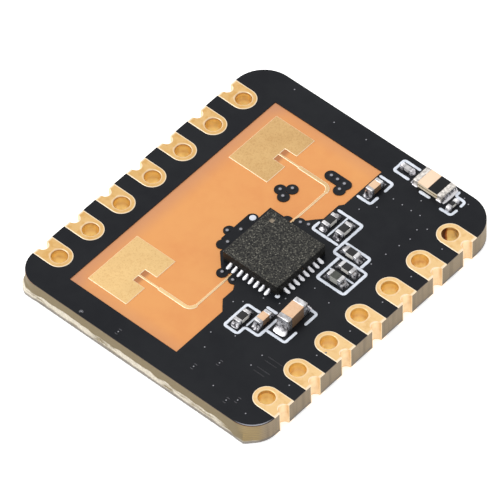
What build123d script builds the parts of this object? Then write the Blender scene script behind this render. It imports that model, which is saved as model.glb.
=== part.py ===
from build123d import *
from dataclasses import dataclass
from math import cos, radians, sin
import os

# Microwave radar sensor module: a thumb-sized circuit board with plated half holes along both long
# edges, two patch antennas in a bare window of its laminate, and one radar chip with its small parts.
#
# Millimetres, +Z up. The origin is the centre of the board's underside. X runs across the two rows
# of contacts, and Y runs along them towards the far end. The board is as wide and as long as what it
# carries, and the places of the small parts and of the mask round the chip follow the chip.

# Board
board_thickness = 1.5
near_corner_radius = 1.6
far_corner_radius = 2.0
mask_thickness = 0.05
rows_middle_y = -0.25

# Edge contacts: a plated hole and a plated half hole, joined by a land on each face
contacts_per_row = 7
contact_pitch = 2.54
contact_inset = 1.28
hole_radius = 0.48
half_hole_radius = 0.35
plating_thickness = 0.05
plating_flats = 6
land_width = 1.56
lower_land_thickness = 0.05
land_proud = 0.015

# Ground plane, the copper sheet under the laminate
plane_thickness = 0.035
plane_end_margin = 0.4
plane_side_gap = 0.3

# Radar chip: a square package with leads on its four sides and a heat pad below
chip_y = 0.075
chip_to_row = 4.26
chip_size = 4.0
chip_height = 0.73
lead_pitch = 0.4
leads_per_side = 8
lead_width = 0.2
lead_length = 0.4
lead_height = 0.2
heat_pad_inset = 0.7
chip_toe = 0.42
chip_fillet_height = 0.19
pin_one_radius = 0.15
pin_one_depth = 0.06
pin_one_inset = 0.6

# Patch antennas, one at each end of the window, fed from the second lead of the chip's end rows
copper_thickness = 0.04
patch_width = 2.87
patch_length = 4.05
patch_distance = 5.8
patch_side_margin = 0.7
patch_end_margin = 0.695
inset_depth = 0.87
inset_width = 0.97
feed_start_width = 0.14
feed_main_width = 0.26
feed_chip_width = 0.155
feed_start_run = 0.58
feed_run = 2.89
feed_bend_radius = 0.45

# Window in the upper mask that leaves the laminate bare
window_side_gap = 0.74
window_end_margin = 1.73
window_past_chip = 0.44

# Mask left standing in the window over the ground vias
lobe_radius = 0.34
island_radius = 0.36
bed_margin = 0.1
bed_cut = 0.85

# Two-terminal parts
overcoat_thickness = 0.04
fillet_share = 0.65

# Levels, from the underside up
laminate_bottom = lower_land_thickness
laminate_top = board_thickness - mask_thickness
laminate_thickness = laminate_top - laminate_bottom

# Lengths that follow, from the left row of contacts to the right one and from the middle to the ends
heat_pad_size = chip_size - 2 * heat_pad_inset
feed_lead_offset = (leads_per_side / 2 - 1.5) * lead_pitch
left_row_to_patch = land_width / 2 + window_side_gap + patch_side_margin
patch_to_right_row = feed_run + feed_lead_offset + chip_size / 2 + chip_to_row
row_spacing = left_row_to_patch + patch_width + patch_to_right_row
board_width = row_spacing + 2 * contact_inset
window_half_length = patch_distance + patch_length / 2 + patch_end_margin
board_length = 2 * (window_half_length + window_end_margin)

# Places that follow: from the middle of the contact rows, and the far edge from the chip's centre
chip_x = row_spacing / 2 - chip_to_row - chip_size / 2
feed_x = chip_x - feed_lead_offset
patch_right = feed_x - feed_run
patch_centre_x = patch_right - patch_width / 2
window_left = patch_right - patch_width - patch_side_margin
window_right = chip_x + window_past_chip
far_edge = board_length / 2 - rows_middle_y - chip_y


@dataclass(frozen=True)
class Case:
    """A standard body: its length and width, and how long its terminals and its solder toes are."""

    length: float
    width: float
    terminal: float
    toe: float


tiny = Case(length=0.6, width=0.3, terminal=0.15, toe=0.15)
small = Case(length=1.0, width=0.5, terminal=0.25, toe=0.27)
medium = Case(length=1.75, width=0.82, terminal=0.38, toe=0.35)
large = Case(length=2.1, width=1.25, terminal=0.36, toe=0.12)


@dataclass(frozen=True)
class Placed:
    """A two-terminal part: its centre from the chip's, its height and the direction it lies in."""

    name: str
    case: Case
    x: float
    y: float
    height: float
    direction: float = 90.0
    has_overcoat: bool = False


placed_parts = [
    Placed("resistor_1", small, 1.62, -4.455, 0.35, has_overcoat=True),
    Placed("resistor_2", small, 0.74, 3.845, 0.35, has_overcoat=True),
    Placed("resistor_3", small, 1.74, 3.855, 0.35, has_overcoat=True),
    Placed("resistor_4", small, 3.18, 2.845, 0.35, direction=0.0, has_overcoat=True),
    Placed("resistor_5", small, 3.71, 1.875, 0.35, direction=0.0, has_overcoat=True),
    Placed("resistor_6", tiny, 5.04, far_edge - 1.25, 0.25, has_overcoat=True),
    Placed("inductor", small, 3.71, 0.925, 0.5, direction=0.0),
    Placed("supply_capacitor", medium, 3.72, -2.695, 0.9, direction=93.0),
    Placed("near_bypass_capacitor", small, 2.6, -3.845, 0.5),
    Placed("far_bypass_capacitor", small, 1.01, 7.245, 0.5),
    Placed("corner_capacitor", tiny, 1.48, far_edge - 0.9, 0.3, direction=0.0),
    Placed("protection_diode", large, 3.38, far_edge - 0.845, 0.44, direction=0.0),
]

# The upper mask past three of the chip's sides, each from the middle of that side: a piece, and lobes
far_side = (0, 1)
near_side = (0, -1)
left_side = (-1, 0)
far_shoulder = [(-0.9, 0.5), (-0.15, 1.4), (0.24, 1.82), (0.24, 3.1), (0.44, 3.35), (0.9, 3.35), (0.9, 0.5)]
near_shoulder = [(-0.6, -0.5), (-0.14, -1.25), (-0.14, -2.1), (0.46, -2.8), (0.9, -2.8), (0.9, -0.5)]
side_margin = [(-0.4, -1.4), (-1.11, -0.9), (-1.11, 1.4), (-0.4, 1.4)]
far_lobes = [(-feed_lead_offset - 0.2, 0.42), (-feed_lead_offset + 0.42, 0.76)]
near_lobes = [(-feed_lead_offset - 0.41, -0.72), (-feed_lead_offset + 0.4, -0.66)]
left_lobes = [(-0.76, 1.3), (-1.15, -0.2), (-0.78, -1.2)]

# Islands of mask in the window: three lobes past the chip's far side, and from the far feed line's
# corner a bar with a fourth lobe at its end
chip_island_lobes = [(-2.49, 2.305), (-2.98, 1.875), (-2.49, 1.575)]
feed_island_lobe = (0.54, 0.155)
feed_island_bar = (0.005, 0.675)
island_bar_length = 1.07


def on_board(point):
    """A point given from the middle of the contact rows, in the board's own frame."""
    return (point[0], point[1] + rows_middle_y)


def by_chip(point):
    """A point given from the chip's centre, in the board's own frame."""
    return on_board((chip_x + point[0], chip_y + point[1]))


def past_chip(side, point):
    """A point given from the middle of one of the chip's sides, in the board's own frame."""
    return by_chip((side[0] * chip_size / 2 + point[0], side[1] * chip_size / 2 + point[1]))


def past_feed(point):
    """A point given from the far feed line's corner, in the board's own frame."""
    return on_board((feed_x + point[0], chip_y + patch_distance + point[1]))


def contact_places():
    """The side (-1 or 1), the number in its row and the hole's Y of each contact."""
    middle = (contacts_per_row - 1) / 2
    return [
        (side, place + 1, rows_middle_y + (place - middle) * contact_pitch)
        for side in (-1, 1)
        for place in range(contacts_per_row)
    ]


def board_outline():
    """The board's outline, with its own radius at the near and the far corners."""
    with BuildSketch() as outline:
        Rectangle(board_width, board_length)
        fillet(outline.vertices().group_by(Axis.Y)[0], near_corner_radius)
        fillet(outline.vertices().group_by(Axis.Y)[-1], far_corner_radius)
    return outline.sketch


def round_land(side, hole_y):
    """A contact's upper land: round about its hole and cut off straight at the board's edge."""
    reach = (board_width - row_spacing) / 2
    with BuildSketch() as land:
        with Locations((side * row_spacing / 2, hole_y)):
            Circle(land_width / 2)
        with Locations((side * (row_spacing + reach) / 2, hole_y)):
            Rectangle(reach, land_width)
        add(board_outline(), mode=Mode.INTERSECT)
    return land.sketch


def square_land(side, hole_y):
    """A contact's lower land: as wide and as long as the upper one, with a straight inner end."""
    length = (board_width - row_spacing + land_width) / 2
    with BuildSketch() as land:
        with Locations((side * (board_width - length) / 2, hole_y)):
            Rectangle(length, land_width)
        add(board_outline(), mode=Mode.INTERSECT)
    return land.sketch


def plating_outline(side, hole_y):
    """The outer walls of a contact's plating, which have flats where they lie in the laminate."""
    with BuildSketch() as walls:
        for centre_x, radius in ((row_spacing / 2, hole_radius), (board_width / 2, half_hole_radius)):
            with Locations((side * centre_x, hole_y)):
                RegularPolygon(
                    radius + plating_thickness,
                    plating_flats,
                    major_radius=False,
                    rotation=90 - 180 / plating_flats,
                )
        add(board_outline(), mode=Mode.INTERSECT)
    return walls.sketch


def chip_places():
    """The chip's centre turned to face each lead in turn: +X of each place points out past the lead."""
    centre = Location((*by_chip((0, 0)), 0))
    middle = (leads_per_side - 1) / 2
    return [
        centre * Location((0, 0, 0), (0, 0, 90 * quarter)) * Location((0, (lead - middle) * lead_pitch, 0))
        for quarter in range(4)
        for lead in range(leads_per_side)
    ]


def heat_pad_square():
    """The square under the chip that carries its heat into the board."""
    with BuildSketch() as square:
        with Locations(by_chip((0, 0))):
            Rectangle(heat_pad_size, heat_pad_size)
    return square.sketch


def antenna_outline(end):
    """One antenna: the patch with its inset feed, the wider line, the bend and the run to the chip."""
    patch_y = chip_y + end * patch_distance
    inset_left = patch_right - inset_depth
    feed_step_x = patch_right + feed_start_run
    bend_x = feed_x - feed_bend_radius
    bend_y = patch_y - end * feed_bend_radius
    chip_end_y = chip_y + end * (chip_size / 2 + chip_toe)
    inner = feed_bend_radius - feed_main_width / 2
    outer = feed_bend_radius + feed_main_width / 2
    with BuildSketch() as outline:
        with Locations(on_board((patch_centre_x, patch_y))):
            Rectangle(patch_width, patch_length)
        with Locations(on_board((patch_right - inset_depth / 2, patch_y))):
            Rectangle(inset_depth, inset_width, mode=Mode.SUBTRACT)
        with Locations(on_board(((inset_left + feed_step_x) / 2, patch_y))):
            Rectangle(feed_step_x - inset_left, feed_start_width)
        with Locations(on_board(((feed_step_x + bend_x) / 2, patch_y))):
            Rectangle(bend_x - feed_step_x, feed_main_width)
        with BuildLine():
            CenterArc(on_board((bend_x, bend_y)), inner, 0, 90 * end)
            CenterArc(on_board((bend_x, bend_y)), outer, 0, 90 * end)
            Line(on_board((bend_x + inner, bend_y)), on_board((bend_x + outer, bend_y)))
            Line(on_board((bend_x, bend_y + end * inner)), on_board((bend_x, bend_y + end * outer)))
        make_face()
        with Locations(on_board((feed_x, (bend_y + chip_end_y) / 2))):
            Rectangle(feed_chip_width, abs(bend_y - chip_end_y))
    return outline.sketch


def mask_beside_chip():
    """The mask that stands in the window: the chip's bed, two shoulders, a margin and the lobes."""
    bed = chip_size + 2 * (chip_toe + bed_margin)
    with BuildSketch() as beside:
        with Locations(by_chip((0, 0))):
            Rectangle(bed, bed)
        near_left = beside.vertices().group_by(Axis.Y)[0].sort_by(Axis.X)[0]
        chamfer(near_left, bed_cut)
        for side, corners, lobes in (
            (far_side, far_shoulder, far_lobes),
            (near_side, near_shoulder, near_lobes),
            (left_side, side_margin, left_lobes),
        ):
            with BuildLine():
                Polyline(*[past_chip(side, corner) for corner in corners], close=True)
            make_face()
            with Locations(*[past_chip(side, lobe) for lobe in lobes]):
                Circle(lobe_radius)
    return beside.sketch


def seat_plane(part, height=0.0):
    """The plane at this height over the board with its origin at the part and X along the part."""
    turned = radians(part.direction)
    return Plane(
        origin=(*by_chip((part.x, part.y)), board_thickness + height),
        x_dir=(cos(turned), sin(turned), 0),
        z_dir=(0, 0, 1),
    )


def build_laminate():
    """The laminate: the board's outline with room in it for each contact's plating."""
    with BuildPart() as laminate:
        with BuildSketch(Plane.XY.offset(laminate_bottom)):
            add(board_outline())
            for side, _, hole_y in contact_places():
                add(plating_outline(side, hole_y), mode=Mode.SUBTRACT)
        extrude(amount=laminate_thickness)
    return laminate


def build_contact(side, hole_y):
    """One edge contact: two lands joined through the board by the plated hole and half hole."""
    with BuildPart() as contact:
        with BuildSketch():
            add(square_land(side, hole_y))
        extrude(amount=lower_land_thickness)
        with BuildSketch(Plane.XY.offset(laminate_bottom)):
            add(plating_outline(side, hole_y))
        extrude(amount=laminate_thickness)
        with BuildSketch(Plane.XY.offset(laminate_top)):
            add(round_land(side, hole_y))
        extrude(amount=mask_thickness + land_proud)
        with BuildSketch():
            with Locations((side * row_spacing / 2, hole_y)):
                Circle(hole_radius)
            with Locations((side * board_width / 2, hole_y)):
                Circle(half_hole_radius)
        extrude(amount=board_thickness + land_proud, mode=Mode.SUBTRACT)
    return contact


def build_ground_plane():
    """The copper sheet behind the antennas, between the two rows of contacts."""
    with BuildPart() as plane:
        with BuildSketch(Plane.XY.offset(laminate_bottom - plane_thickness)):
            Rectangle(row_spacing - land_width - 2 * plane_side_gap, board_length - 2 * plane_end_margin)
        extrude(amount=plane_thickness)
    return plane


def build_upper_mask():
    """The mask on the upper face, open at the antenna window, the feed lines and the lands."""
    window_middle = (window_left + window_right) / 2
    with BuildPart() as mask:
        with BuildSketch(Plane.XY.offset(laminate_top)):
            add(board_outline())
            with Locations(on_board((window_middle, chip_y))):
                Rectangle(window_right - window_left, 2 * window_half_length, mode=Mode.SUBTRACT)
            add(mask_beside_chip())
            for end in (-1, 1):
                add(antenna_outline(end), mode=Mode.SUBTRACT)
            for side, _, hole_y in contact_places():
                add(round_land(side, hole_y), mode=Mode.SUBTRACT)
        extrude(amount=mask_thickness)
    return mask


def build_mask_islands():
    """The two islands of mask that stand in the window over their ground vias."""
    with BuildPart() as islands:
        with BuildSketch(Plane.XY.offset(laminate_top)):
            with Locations(*[past_chip(far_side, lobe) for lobe in chip_island_lobes]):
                Circle(island_radius)
            with Locations(past_feed(feed_island_lobe)):
                Circle(island_radius)
            with Locations(past_feed(feed_island_bar)):
                SlotCenterToCenter(island_bar_length, 2 * island_radius)
        extrude(amount=mask_thickness)
    return islands


def build_antenna(end):
    """One patch antenna with its feed line, in copper on the bare laminate."""
    with BuildPart() as antenna:
        with BuildSketch(Plane.XY.offset(laminate_top)):
            add(antenna_outline(end))
        extrude(amount=copper_thickness)
    return antenna


def build_chip_leads():
    """The chip's leads, flush with its sides and its underside."""
    with BuildPart() as leads:
        with BuildSketch(Plane.XY.offset(board_thickness)):
            with Locations(*chip_places()):
                with Locations(((chip_size - lead_length) / 2, 0)):
                    Rectangle(lead_length, lead_width)
        extrude(amount=lead_height)
    return leads


def build_heat_pad():
    """The chip's heat pad, flush with its underside."""
    with BuildPart() as heat_pad:
        with BuildSketch(Plane.XY.offset(board_thickness)):
            add(heat_pad_square())
        extrude(amount=lead_height)
    return heat_pad


def build_chip_body():
    """The chip's moulded body, which holds the leads and the heat pad, with a dimple by lead one."""
    leads = build_chip_leads()
    heat_pad = build_heat_pad()
    dimple = chip_size / 2 - pin_one_inset
    with BuildPart() as body:
        with BuildSketch(Plane.XY.offset(board_thickness)):
            with Locations(by_chip((0, 0))):
                Rectangle(chip_size, chip_size)
        extrude(amount=chip_height)
        add(leads.part, mode=Mode.SUBTRACT)
        add(heat_pad.part, mode=Mode.SUBTRACT)
        with BuildSketch(Plane.XY.offset(board_thickness + chip_height)):
            with Locations(by_chip((-dimple, dimple))):
                Circle(pin_one_radius)
        extrude(amount=-pin_one_depth, mode=Mode.SUBTRACT)
    return body


def build_chip_solder():
    """The solder fillets that run from the ends of the chip's leads down to the board."""
    half = chip_size / 2
    with BuildPart() as solder:
        for place in chip_places():
            lead = Plane(place)
            start = (place.position.X, place.position.Y, board_thickness)
            with BuildSketch(Plane(origin=start, x_dir=lead.x_dir, z_dir=lead.y_dir * -1)):
                with BuildLine():
                    Polyline((half, 0), (half + chip_toe, 0), (half, chip_fillet_height), close=True)
                make_face()
            extrude(amount=lead_width / 2, both=True)
    return solder


def build_part_body(part):
    """The ceramic or moulded block of a part, between its two terminals."""
    coat = overcoat_thickness if part.has_overcoat else 0
    with BuildPart() as body:
        with BuildSketch(seat_plane(part)):
            Rectangle(part.case.length - 2 * part.case.terminal, part.case.width)
        extrude(amount=part.height - coat)
    return body


def build_part_terminals(part):
    """A part's two metal terminals, one at each end."""
    middle = (part.case.length - part.case.terminal) / 2
    with BuildPart() as terminals:
        with BuildSketch(seat_plane(part)):
            with Locations((middle, 0), (-middle, 0)):
                Rectangle(part.case.terminal, part.case.width)
        extrude(amount=part.height)
    return terminals


def build_overcoats():
    """The dark coat on top of each resistor, between its terminals."""
    with BuildPart() as coats:
        for part in placed_parts:
            if part.has_overcoat:
                with BuildSketch(seat_plane(part, part.height - overcoat_thickness)):
                    Rectangle(part.case.length - 2 * part.case.terminal, part.case.width)
                extrude(amount=overcoat_thickness)
    return coats


def build_part_solder():
    """The solder fillet at the end of each part's terminals."""
    with BuildPart() as solder:
        for part in placed_parts:
            seat = seat_plane(part)
            half = part.case.length / 2
            rise = part.height * fillet_share
            for end in (-1, 1):
                with BuildSketch(Plane(origin=seat.origin, x_dir=seat.x_dir * end, z_dir=seat.y_dir * -end)):
                    with BuildLine():
                        Polyline((half, 0), (half + part.case.toe, 0), (half, rise), close=True)
                    make_face()
                extrude(amount=part.case.width / 2, both=True)
    return solder


def save(piece, name):
    """Labels a finished piece and writes its file."""
    piece.part.label = name
    export_step(piece.part, f"parts/{name}.step")


os.makedirs("parts", exist_ok=True)

save(build_laminate(), "laminate")
save(build_ground_plane(), "ground_plane")
save(build_upper_mask(), "upper_mask")
save(build_mask_islands(), "mask_islands")
save(build_antenna(1), "far_patch_antenna")
save(build_antenna(-1), "near_patch_antenna")
for side, number, hole_y in contact_places():
    row = "left" if side < 0 else "right"
    save(build_contact(side, hole_y), f"{row}_contact_{number}")
save(build_chip_body(), "radar_chip_body")
save(build_chip_leads(), "radar_chip_leads")
save(build_heat_pad(), "radar_chip_heat_pad")
save(build_chip_solder(), "radar_chip_solder")
for part in placed_parts:
    save(build_part_body(part), f"{part.name}_body")
    save(build_part_terminals(part), f"{part.name}_terminals")
save(build_overcoats(), "resistor_overcoats")
save(build_part_solder(), "part_solder")
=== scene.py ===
"""The looks of the microwave radar sensor module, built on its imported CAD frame.

Lengths in this script are millimetres in the frame's own axes, and place() turns them into metres.
Places on the board are given from the middle of the contact rows, as BOARD.middle_y says, and heights
are from the board's underside. Every new piece is a closed skin worked out as arrays: rows of outline
points that follow a profile, or a closed section swept along a path.
"""
import logging
from dataclasses import dataclass, field
from enum import Enum
from math import pi, radians

import bmesh
import bpy
import numpy as np
from mathutils import Matrix, Vector


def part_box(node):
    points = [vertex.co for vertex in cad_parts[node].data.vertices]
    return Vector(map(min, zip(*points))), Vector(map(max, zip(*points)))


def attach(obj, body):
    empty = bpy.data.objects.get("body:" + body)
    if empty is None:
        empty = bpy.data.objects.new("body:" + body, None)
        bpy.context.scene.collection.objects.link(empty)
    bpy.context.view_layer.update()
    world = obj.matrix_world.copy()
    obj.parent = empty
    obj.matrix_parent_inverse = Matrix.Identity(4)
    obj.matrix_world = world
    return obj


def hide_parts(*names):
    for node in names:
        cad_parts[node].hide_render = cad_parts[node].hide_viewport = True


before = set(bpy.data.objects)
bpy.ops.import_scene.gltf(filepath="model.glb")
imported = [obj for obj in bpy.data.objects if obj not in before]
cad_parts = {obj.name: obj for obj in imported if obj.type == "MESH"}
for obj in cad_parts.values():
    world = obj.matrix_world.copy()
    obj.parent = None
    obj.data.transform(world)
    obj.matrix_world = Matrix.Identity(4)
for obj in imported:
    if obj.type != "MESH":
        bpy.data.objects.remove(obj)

log = logging.getLogger("scene")
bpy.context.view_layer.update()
METRES = 0.001
SEED = 24
SUNK = 0.004  # how deep new pieces reach into the mask that they stand on, in millimetres
SHARP = radians(38)  # edges that turn by more than this are drawn sharp
SMALLEST = 1e-6  # what a divisor is kept above
STEP = 0.035  # from one row of a ridge's points to the next, in millimetres
Colour = tuple[float, float, float]
Material = bpy.types.Material
Socket = bpy.types.NodeSocket


def box(node: str) -> np.ndarray:
    """A CAD node's lowest and highest corners at rest, in millimetres, as (2, 3)."""
    return np.array([list(corner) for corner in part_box(node)]) / METRES


@dataclass(frozen=True)
class Board:
    """The sizes that the pieces on the board share."""

    width: float
    length: float
    top: float
    mask_bottom: float
    laminate_bottom: float
    middle_y: float
    row_x: float
    pitch: float
    land: float
    near_corner_radius: float = 1.6
    contacts_per_row: int = 7

    @classmethod
    def measured(cls) -> "Board":
        """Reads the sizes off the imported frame.

        A contact's land is as far round its hole as half its own size along Y, so the hole's centre
        lies that far from the land's inner end.

        Returns:
            The board.
        """
        laminate, mask, first, second, last = (box(name) for name in (
            "laminate", "upper_mask", "left_contact_1", "left_contact_2", "left_contact_7"))
        width, length, _ = laminate[1] - laminate[0]
        land = (first[1, 1] - first[0, 1]) / 2
        return cls(
            width=width,
            length=length,
            top=mask[1, 2],
            mask_bottom=laminate[1, 2],
            laminate_bottom=laminate[0, 2],
            middle_y=(first[:, 1].mean() + last[:, 1].mean()) / 2,
            row_x=land - first[1, 0],
            pitch=second[:, 1].mean() - first[:, 1].mean(),
            land=land,
        )

    def on(self, places: np.ndarray | list | tuple) -> np.ndarray:
        """Places given from the middle of the contact rows, in the frame's axes."""
        return np.asarray(places, float) + np.array([0.0, self.middle_y])


BOARD = Board.measured()


def srgb(red: float, green: float, blue: float) -> Colour:
    """A colour given in the 0 to 255 values that a picture shows, as the linear values of a shader.

    Args:
        red, green, blue: The values that a picture shows.

    Returns:
        The linear red, green and blue from 0 to 1.
    """
    shown = np.array([red, green, blue]) / 255
    linear = np.where(shown <= 0.04045, shown / 12.92, ((shown + 0.055) / 1.055) ** 2.4)
    return tuple(float(value) for value in linear)


class Axis(Enum):
    """The frame's axes, each with the name that Blender's nodes give it."""

    X = "X"
    Y = "Y"
    Z = "Z"


class Slot(Enum):
    """The record's material slots that new pieces take their finish from."""

    LAMINATE = "laminate"
    MASK = "solder_mask"
    CONTACT = "contact_gold"
    ANTENNA = "antenna_gold"
    CHIP = "chip_plastic"
    TINNED = "tinned_metal"
    SOLDER = "solder"
    ALUMINA = "resistor_ceramic"
    OVERCOAT = "resistor_overcoat"
    CAPACITOR = "capacitor_ceramic"
    FERRITE = "inductor_ferrite"
    DIODE = "diode_body"


@dataclass
class Skin:
    """A closed skin: its points in millimetres, its faces as arrays of point numbers, and one value a point."""

    points: np.ndarray
    faces: list[np.ndarray]
    tone: np.ndarray

    def outward(self) -> "Skin":
        """The same skin with its faces turned outward.

        The volume under a face is a sixth of the sum of p0 . (p1 x p2) over its fan of triangles.

        Returns:
            This skin.
        """
        volume = 0.0
        for block in self.faces:
            corners = self.points[block]
            first = corners[:, :1]
            fan = np.cross(corners[:, 1:-1], corners[:, 2:])
            volume += float((first * fan).sum())
        if volume < 0:
            self.faces = [block[:, ::-1] for block in self.faces]
        return self


def skins(rows: np.ndarray, tone: np.ndarray | float = 0.0, closed: bool = False) -> Skin:
    """Joins rows of outline points into closed skins, one for each stack of rows.

    Args:
        rows: Points as (stacks, rows, outline points, 3), or one stack without the first of these.
        tone: A value for each point, or one for all.
        closed: Whether the last row joins the first, as in a ring. Otherwise a face closes each end.

    Returns:
        The skins as one, with faces outward.
    """
    rows = rows if rows.ndim == 4 else rows[None]
    stacks, count, around, _ = rows.shape
    number = np.arange(stacks * count * around).reshape(stacks, count, around)
    here = number if closed else number[:, :-1]
    above = np.roll(number, -1, axis=1) if closed else number[:, 1:]
    quads = np.stack([here, np.roll(here, -1, axis=2), np.roll(above, -1, axis=2), above], axis=-1)
    faces = [quads.reshape(-1, 4)]
    if not closed:
        faces += [number[:, 0, ::-1], number[:, -1]]
    spread = np.broadcast_to(tone, (stacks, count, around)).reshape(-1)
    return Skin(rows.reshape(-1, 3), faces, spread).outward()


def joined(parts: list[Skin]) -> Skin:
    """Several skins as one that holds them all, each still closed by itself.

    Args:
        parts: The skins.

    Returns:
        The one skin.
    """
    starts = np.cumsum([0] + [len(part.points) for part in parts[:-1]])
    faces = [block + start for part, start in zip(parts, starts) for block in part.faces]
    places, tone = (np.concatenate([getattr(part, value) for part in parts]) for value in ("points", "tone"))
    return Skin(places, faces, tone)


@dataclass(frozen=True)
class Finish:
    """A material and the record's slot that it belongs to."""

    material: Material
    slot: Slot


def shown(name: str, data: bpy.types.ID) -> bpy.types.Object:
    """A new object of this data, in the scene.

    Args:
        name: The object's name.
        data: Its mesh, camera or light.

    Returns:
        The object.
    """
    piece = bpy.data.objects.new(name, data)
    bpy.context.scene.collection.objects.link(piece)
    return piece


def settle(name: str, mesh: bpy.types.Mesh, finish: Finish, *nodes: str) -> None:
    """Makes a piece of the module from its mesh, riding on the root body.

    Args:
        name: The piece's name.
        mesh: Its mesh, in metres.
        finish: Its finish.
        nodes: The CAD nodes that it stands for, if any.
    """
    mesh.materials.append(finish.material)
    piece = shown(name, mesh)
    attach(piece, "root")
    if nodes:
        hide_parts(*nodes)
    log.info("%s: %d points, %d faces", name, len(mesh.vertices), len(mesh.polygons))


def place(name: str, skin: Skin, finish: Finish, *nodes: str) -> None:
    """Makes a piece of the module from its skin.

    Args:
        name: The piece's name.
        skin: Its closed skin.
        finish: Its finish.
        nodes: The CAD nodes that it stands for, if any.
    """
    mesh = bpy.data.meshes.new(name)
    polygons = [face for block in skin.faces for face in block.tolist()]
    mesh.from_pydata((skin.points * METRES).tolist(), [], polygons)
    mesh.attributes.new("tone", "FLOAT", "POINT").data.foreach_set("value", skin.tone.astype(np.float32))
    mesh.shade_smooth()
    mesh.set_sharp_from_angle(angle=SHARP)
    settle(name, mesh, finish, *nodes)


def dress(finish: Finish, *nodes: str) -> None:
    """Gives CAD nodes that stay their finish, through their objects' own material slots.

    Args:
        finish: The finish.
        nodes: The CAD nodes.
    """
    for name in nodes:
        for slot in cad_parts[name].material_slots:
            slot.link = "OBJECT"
            slot.material = finish.material


def points(x: np.ndarray | float, y: np.ndarray | float, z: np.ndarray | float) -> np.ndarray:
    """Points from coordinates that spread out over one another, with 3 as the last axis."""
    return np.stack(np.broadcast_arrays(x, y, z), axis=-1)


def circle(angle: np.ndarray, radius: float = 1.0) -> np.ndarray:
    """The points of a circle round the origin at these angles, with 2 as the last axis."""
    return np.stack([np.cos(angle), np.sin(angle)], axis=-1) * radius


def raised(plan: np.ndarray, height: np.ndarray) -> np.ndarray:
    """Points in plan with heights, which spread out over all but the plan's last axis."""
    return np.concatenate([plan, np.broadcast_to(height, plan.shape[:-1])[..., None]], axis=-1)


# Outlines and profiles


def rounded_outline(width: np.ndarray, depth: np.ndarray, radius: np.ndarray, steps: int = 5) -> np.ndarray:
    """The outline of a rectangle with round corners, for each of several sizes.

    Each point is a corner's centre plus the corner radius times the direction at its angle.

    Args:
        width, depth, radius: Sizes along X and Y and of the corners, one of each for each outline.
        steps: Points in each corner's arc.

    Returns:
        Points as (outlines, points, 2), anticlockwise.
    """
    turn = np.linspace(0, pi / 2, steps)
    angle = np.concatenate([turn + quarter * pi / 2 for quarter in range(4)])
    side = np.repeat([[1, 1], [-1, 1], [-1, -1], [1, -1]], steps, axis=0)
    half = np.stack([width, depth], axis=-1)[:, None] / 2
    corner = radius[:, None, None]
    return side * (half - corner) + corner * circle(angle)


def rounded_block(width: float, depth: float, low: float, high: float, edge: float, corner: float) -> np.ndarray:
    """The rows of a block whose upright corners and level edges are rounded.

    Up the side the outline comes in by edge x (1 - sin t) while it rises by edge x (1 - cos t), and it
    goes in again at the top in the same way.

    Args:
        width, depth: Sizes along X and Y.
        low, high: Heights of the underside and the top.
        edge: Radius of the level edges.
        corner: Radius of the upright corners.

    Returns:
        Points as (rows, points, 3) round the origin.
    """
    turn = np.linspace(0, pi / 2, 5)
    inset = edge * np.concatenate([1 - np.sin(turn), 1 - np.sin(turn[::-1])])
    height = np.concatenate([low + edge * (1 - np.cos(turn)), high - edge * (1 - np.cos(turn[::-1]))])
    outline = rounded_outline(width - 2 * inset, depth - 2 * inset, np.maximum(corner - inset, 0.3 * corner))
    return raised(outline, height[:, None])


def turned(rows: np.ndarray, direction: np.ndarray | float, centre: np.ndarray) -> np.ndarray:
    """Rows turned about the upright axis and moved to a place on the board.

    Args:
        rows: Points round the origin, with 3 as the last axis.
        direction: The turn in degrees, one or one for each stack.
        centre: The place's X and Y in the frame's axes, one or one for each stack.

    Returns:
        The points in the frame's axes.
    """
    turn = np.radians(np.asarray(direction, float))
    centre = np.asarray(centre, float)
    spread = (...,) + (None,) * (2 if turn.ndim else 0)
    cos, sin = np.cos(turn)[spread], np.sin(turn)[spread]
    x = rows[..., 0] * cos - rows[..., 1] * sin + centre[..., 0][spread]
    y = rows[..., 0] * sin + rows[..., 1] * cos + centre[..., 1][spread]
    return points(x, y, rows[..., 2])


def spots(centres: tuple, reach: np.ndarray, level: np.ndarray, count: int, tone: np.ndarray | float = 0.0) -> Skin:
    """Low round domes on the board.

    Args:
        centres: Their places from the middle of the contact rows.
        reach, level: The radius of each row of their points, and its height over the board's top.
        count: Points in a row.
        tone: A value for each row, or one for all.

    Returns:
        The domes, each closed below and on top.
    """
    around = np.linspace(0, 2 * pi, count + 1)[:-1]
    dome = points(reach[:, None] * np.cos(around), reach[:, None] * np.sin(around), BOARD.top + level[:, None])
    return skins(turned(dome[None], np.zeros(len(centres)), BOARD.on(centres)), tone)


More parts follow.
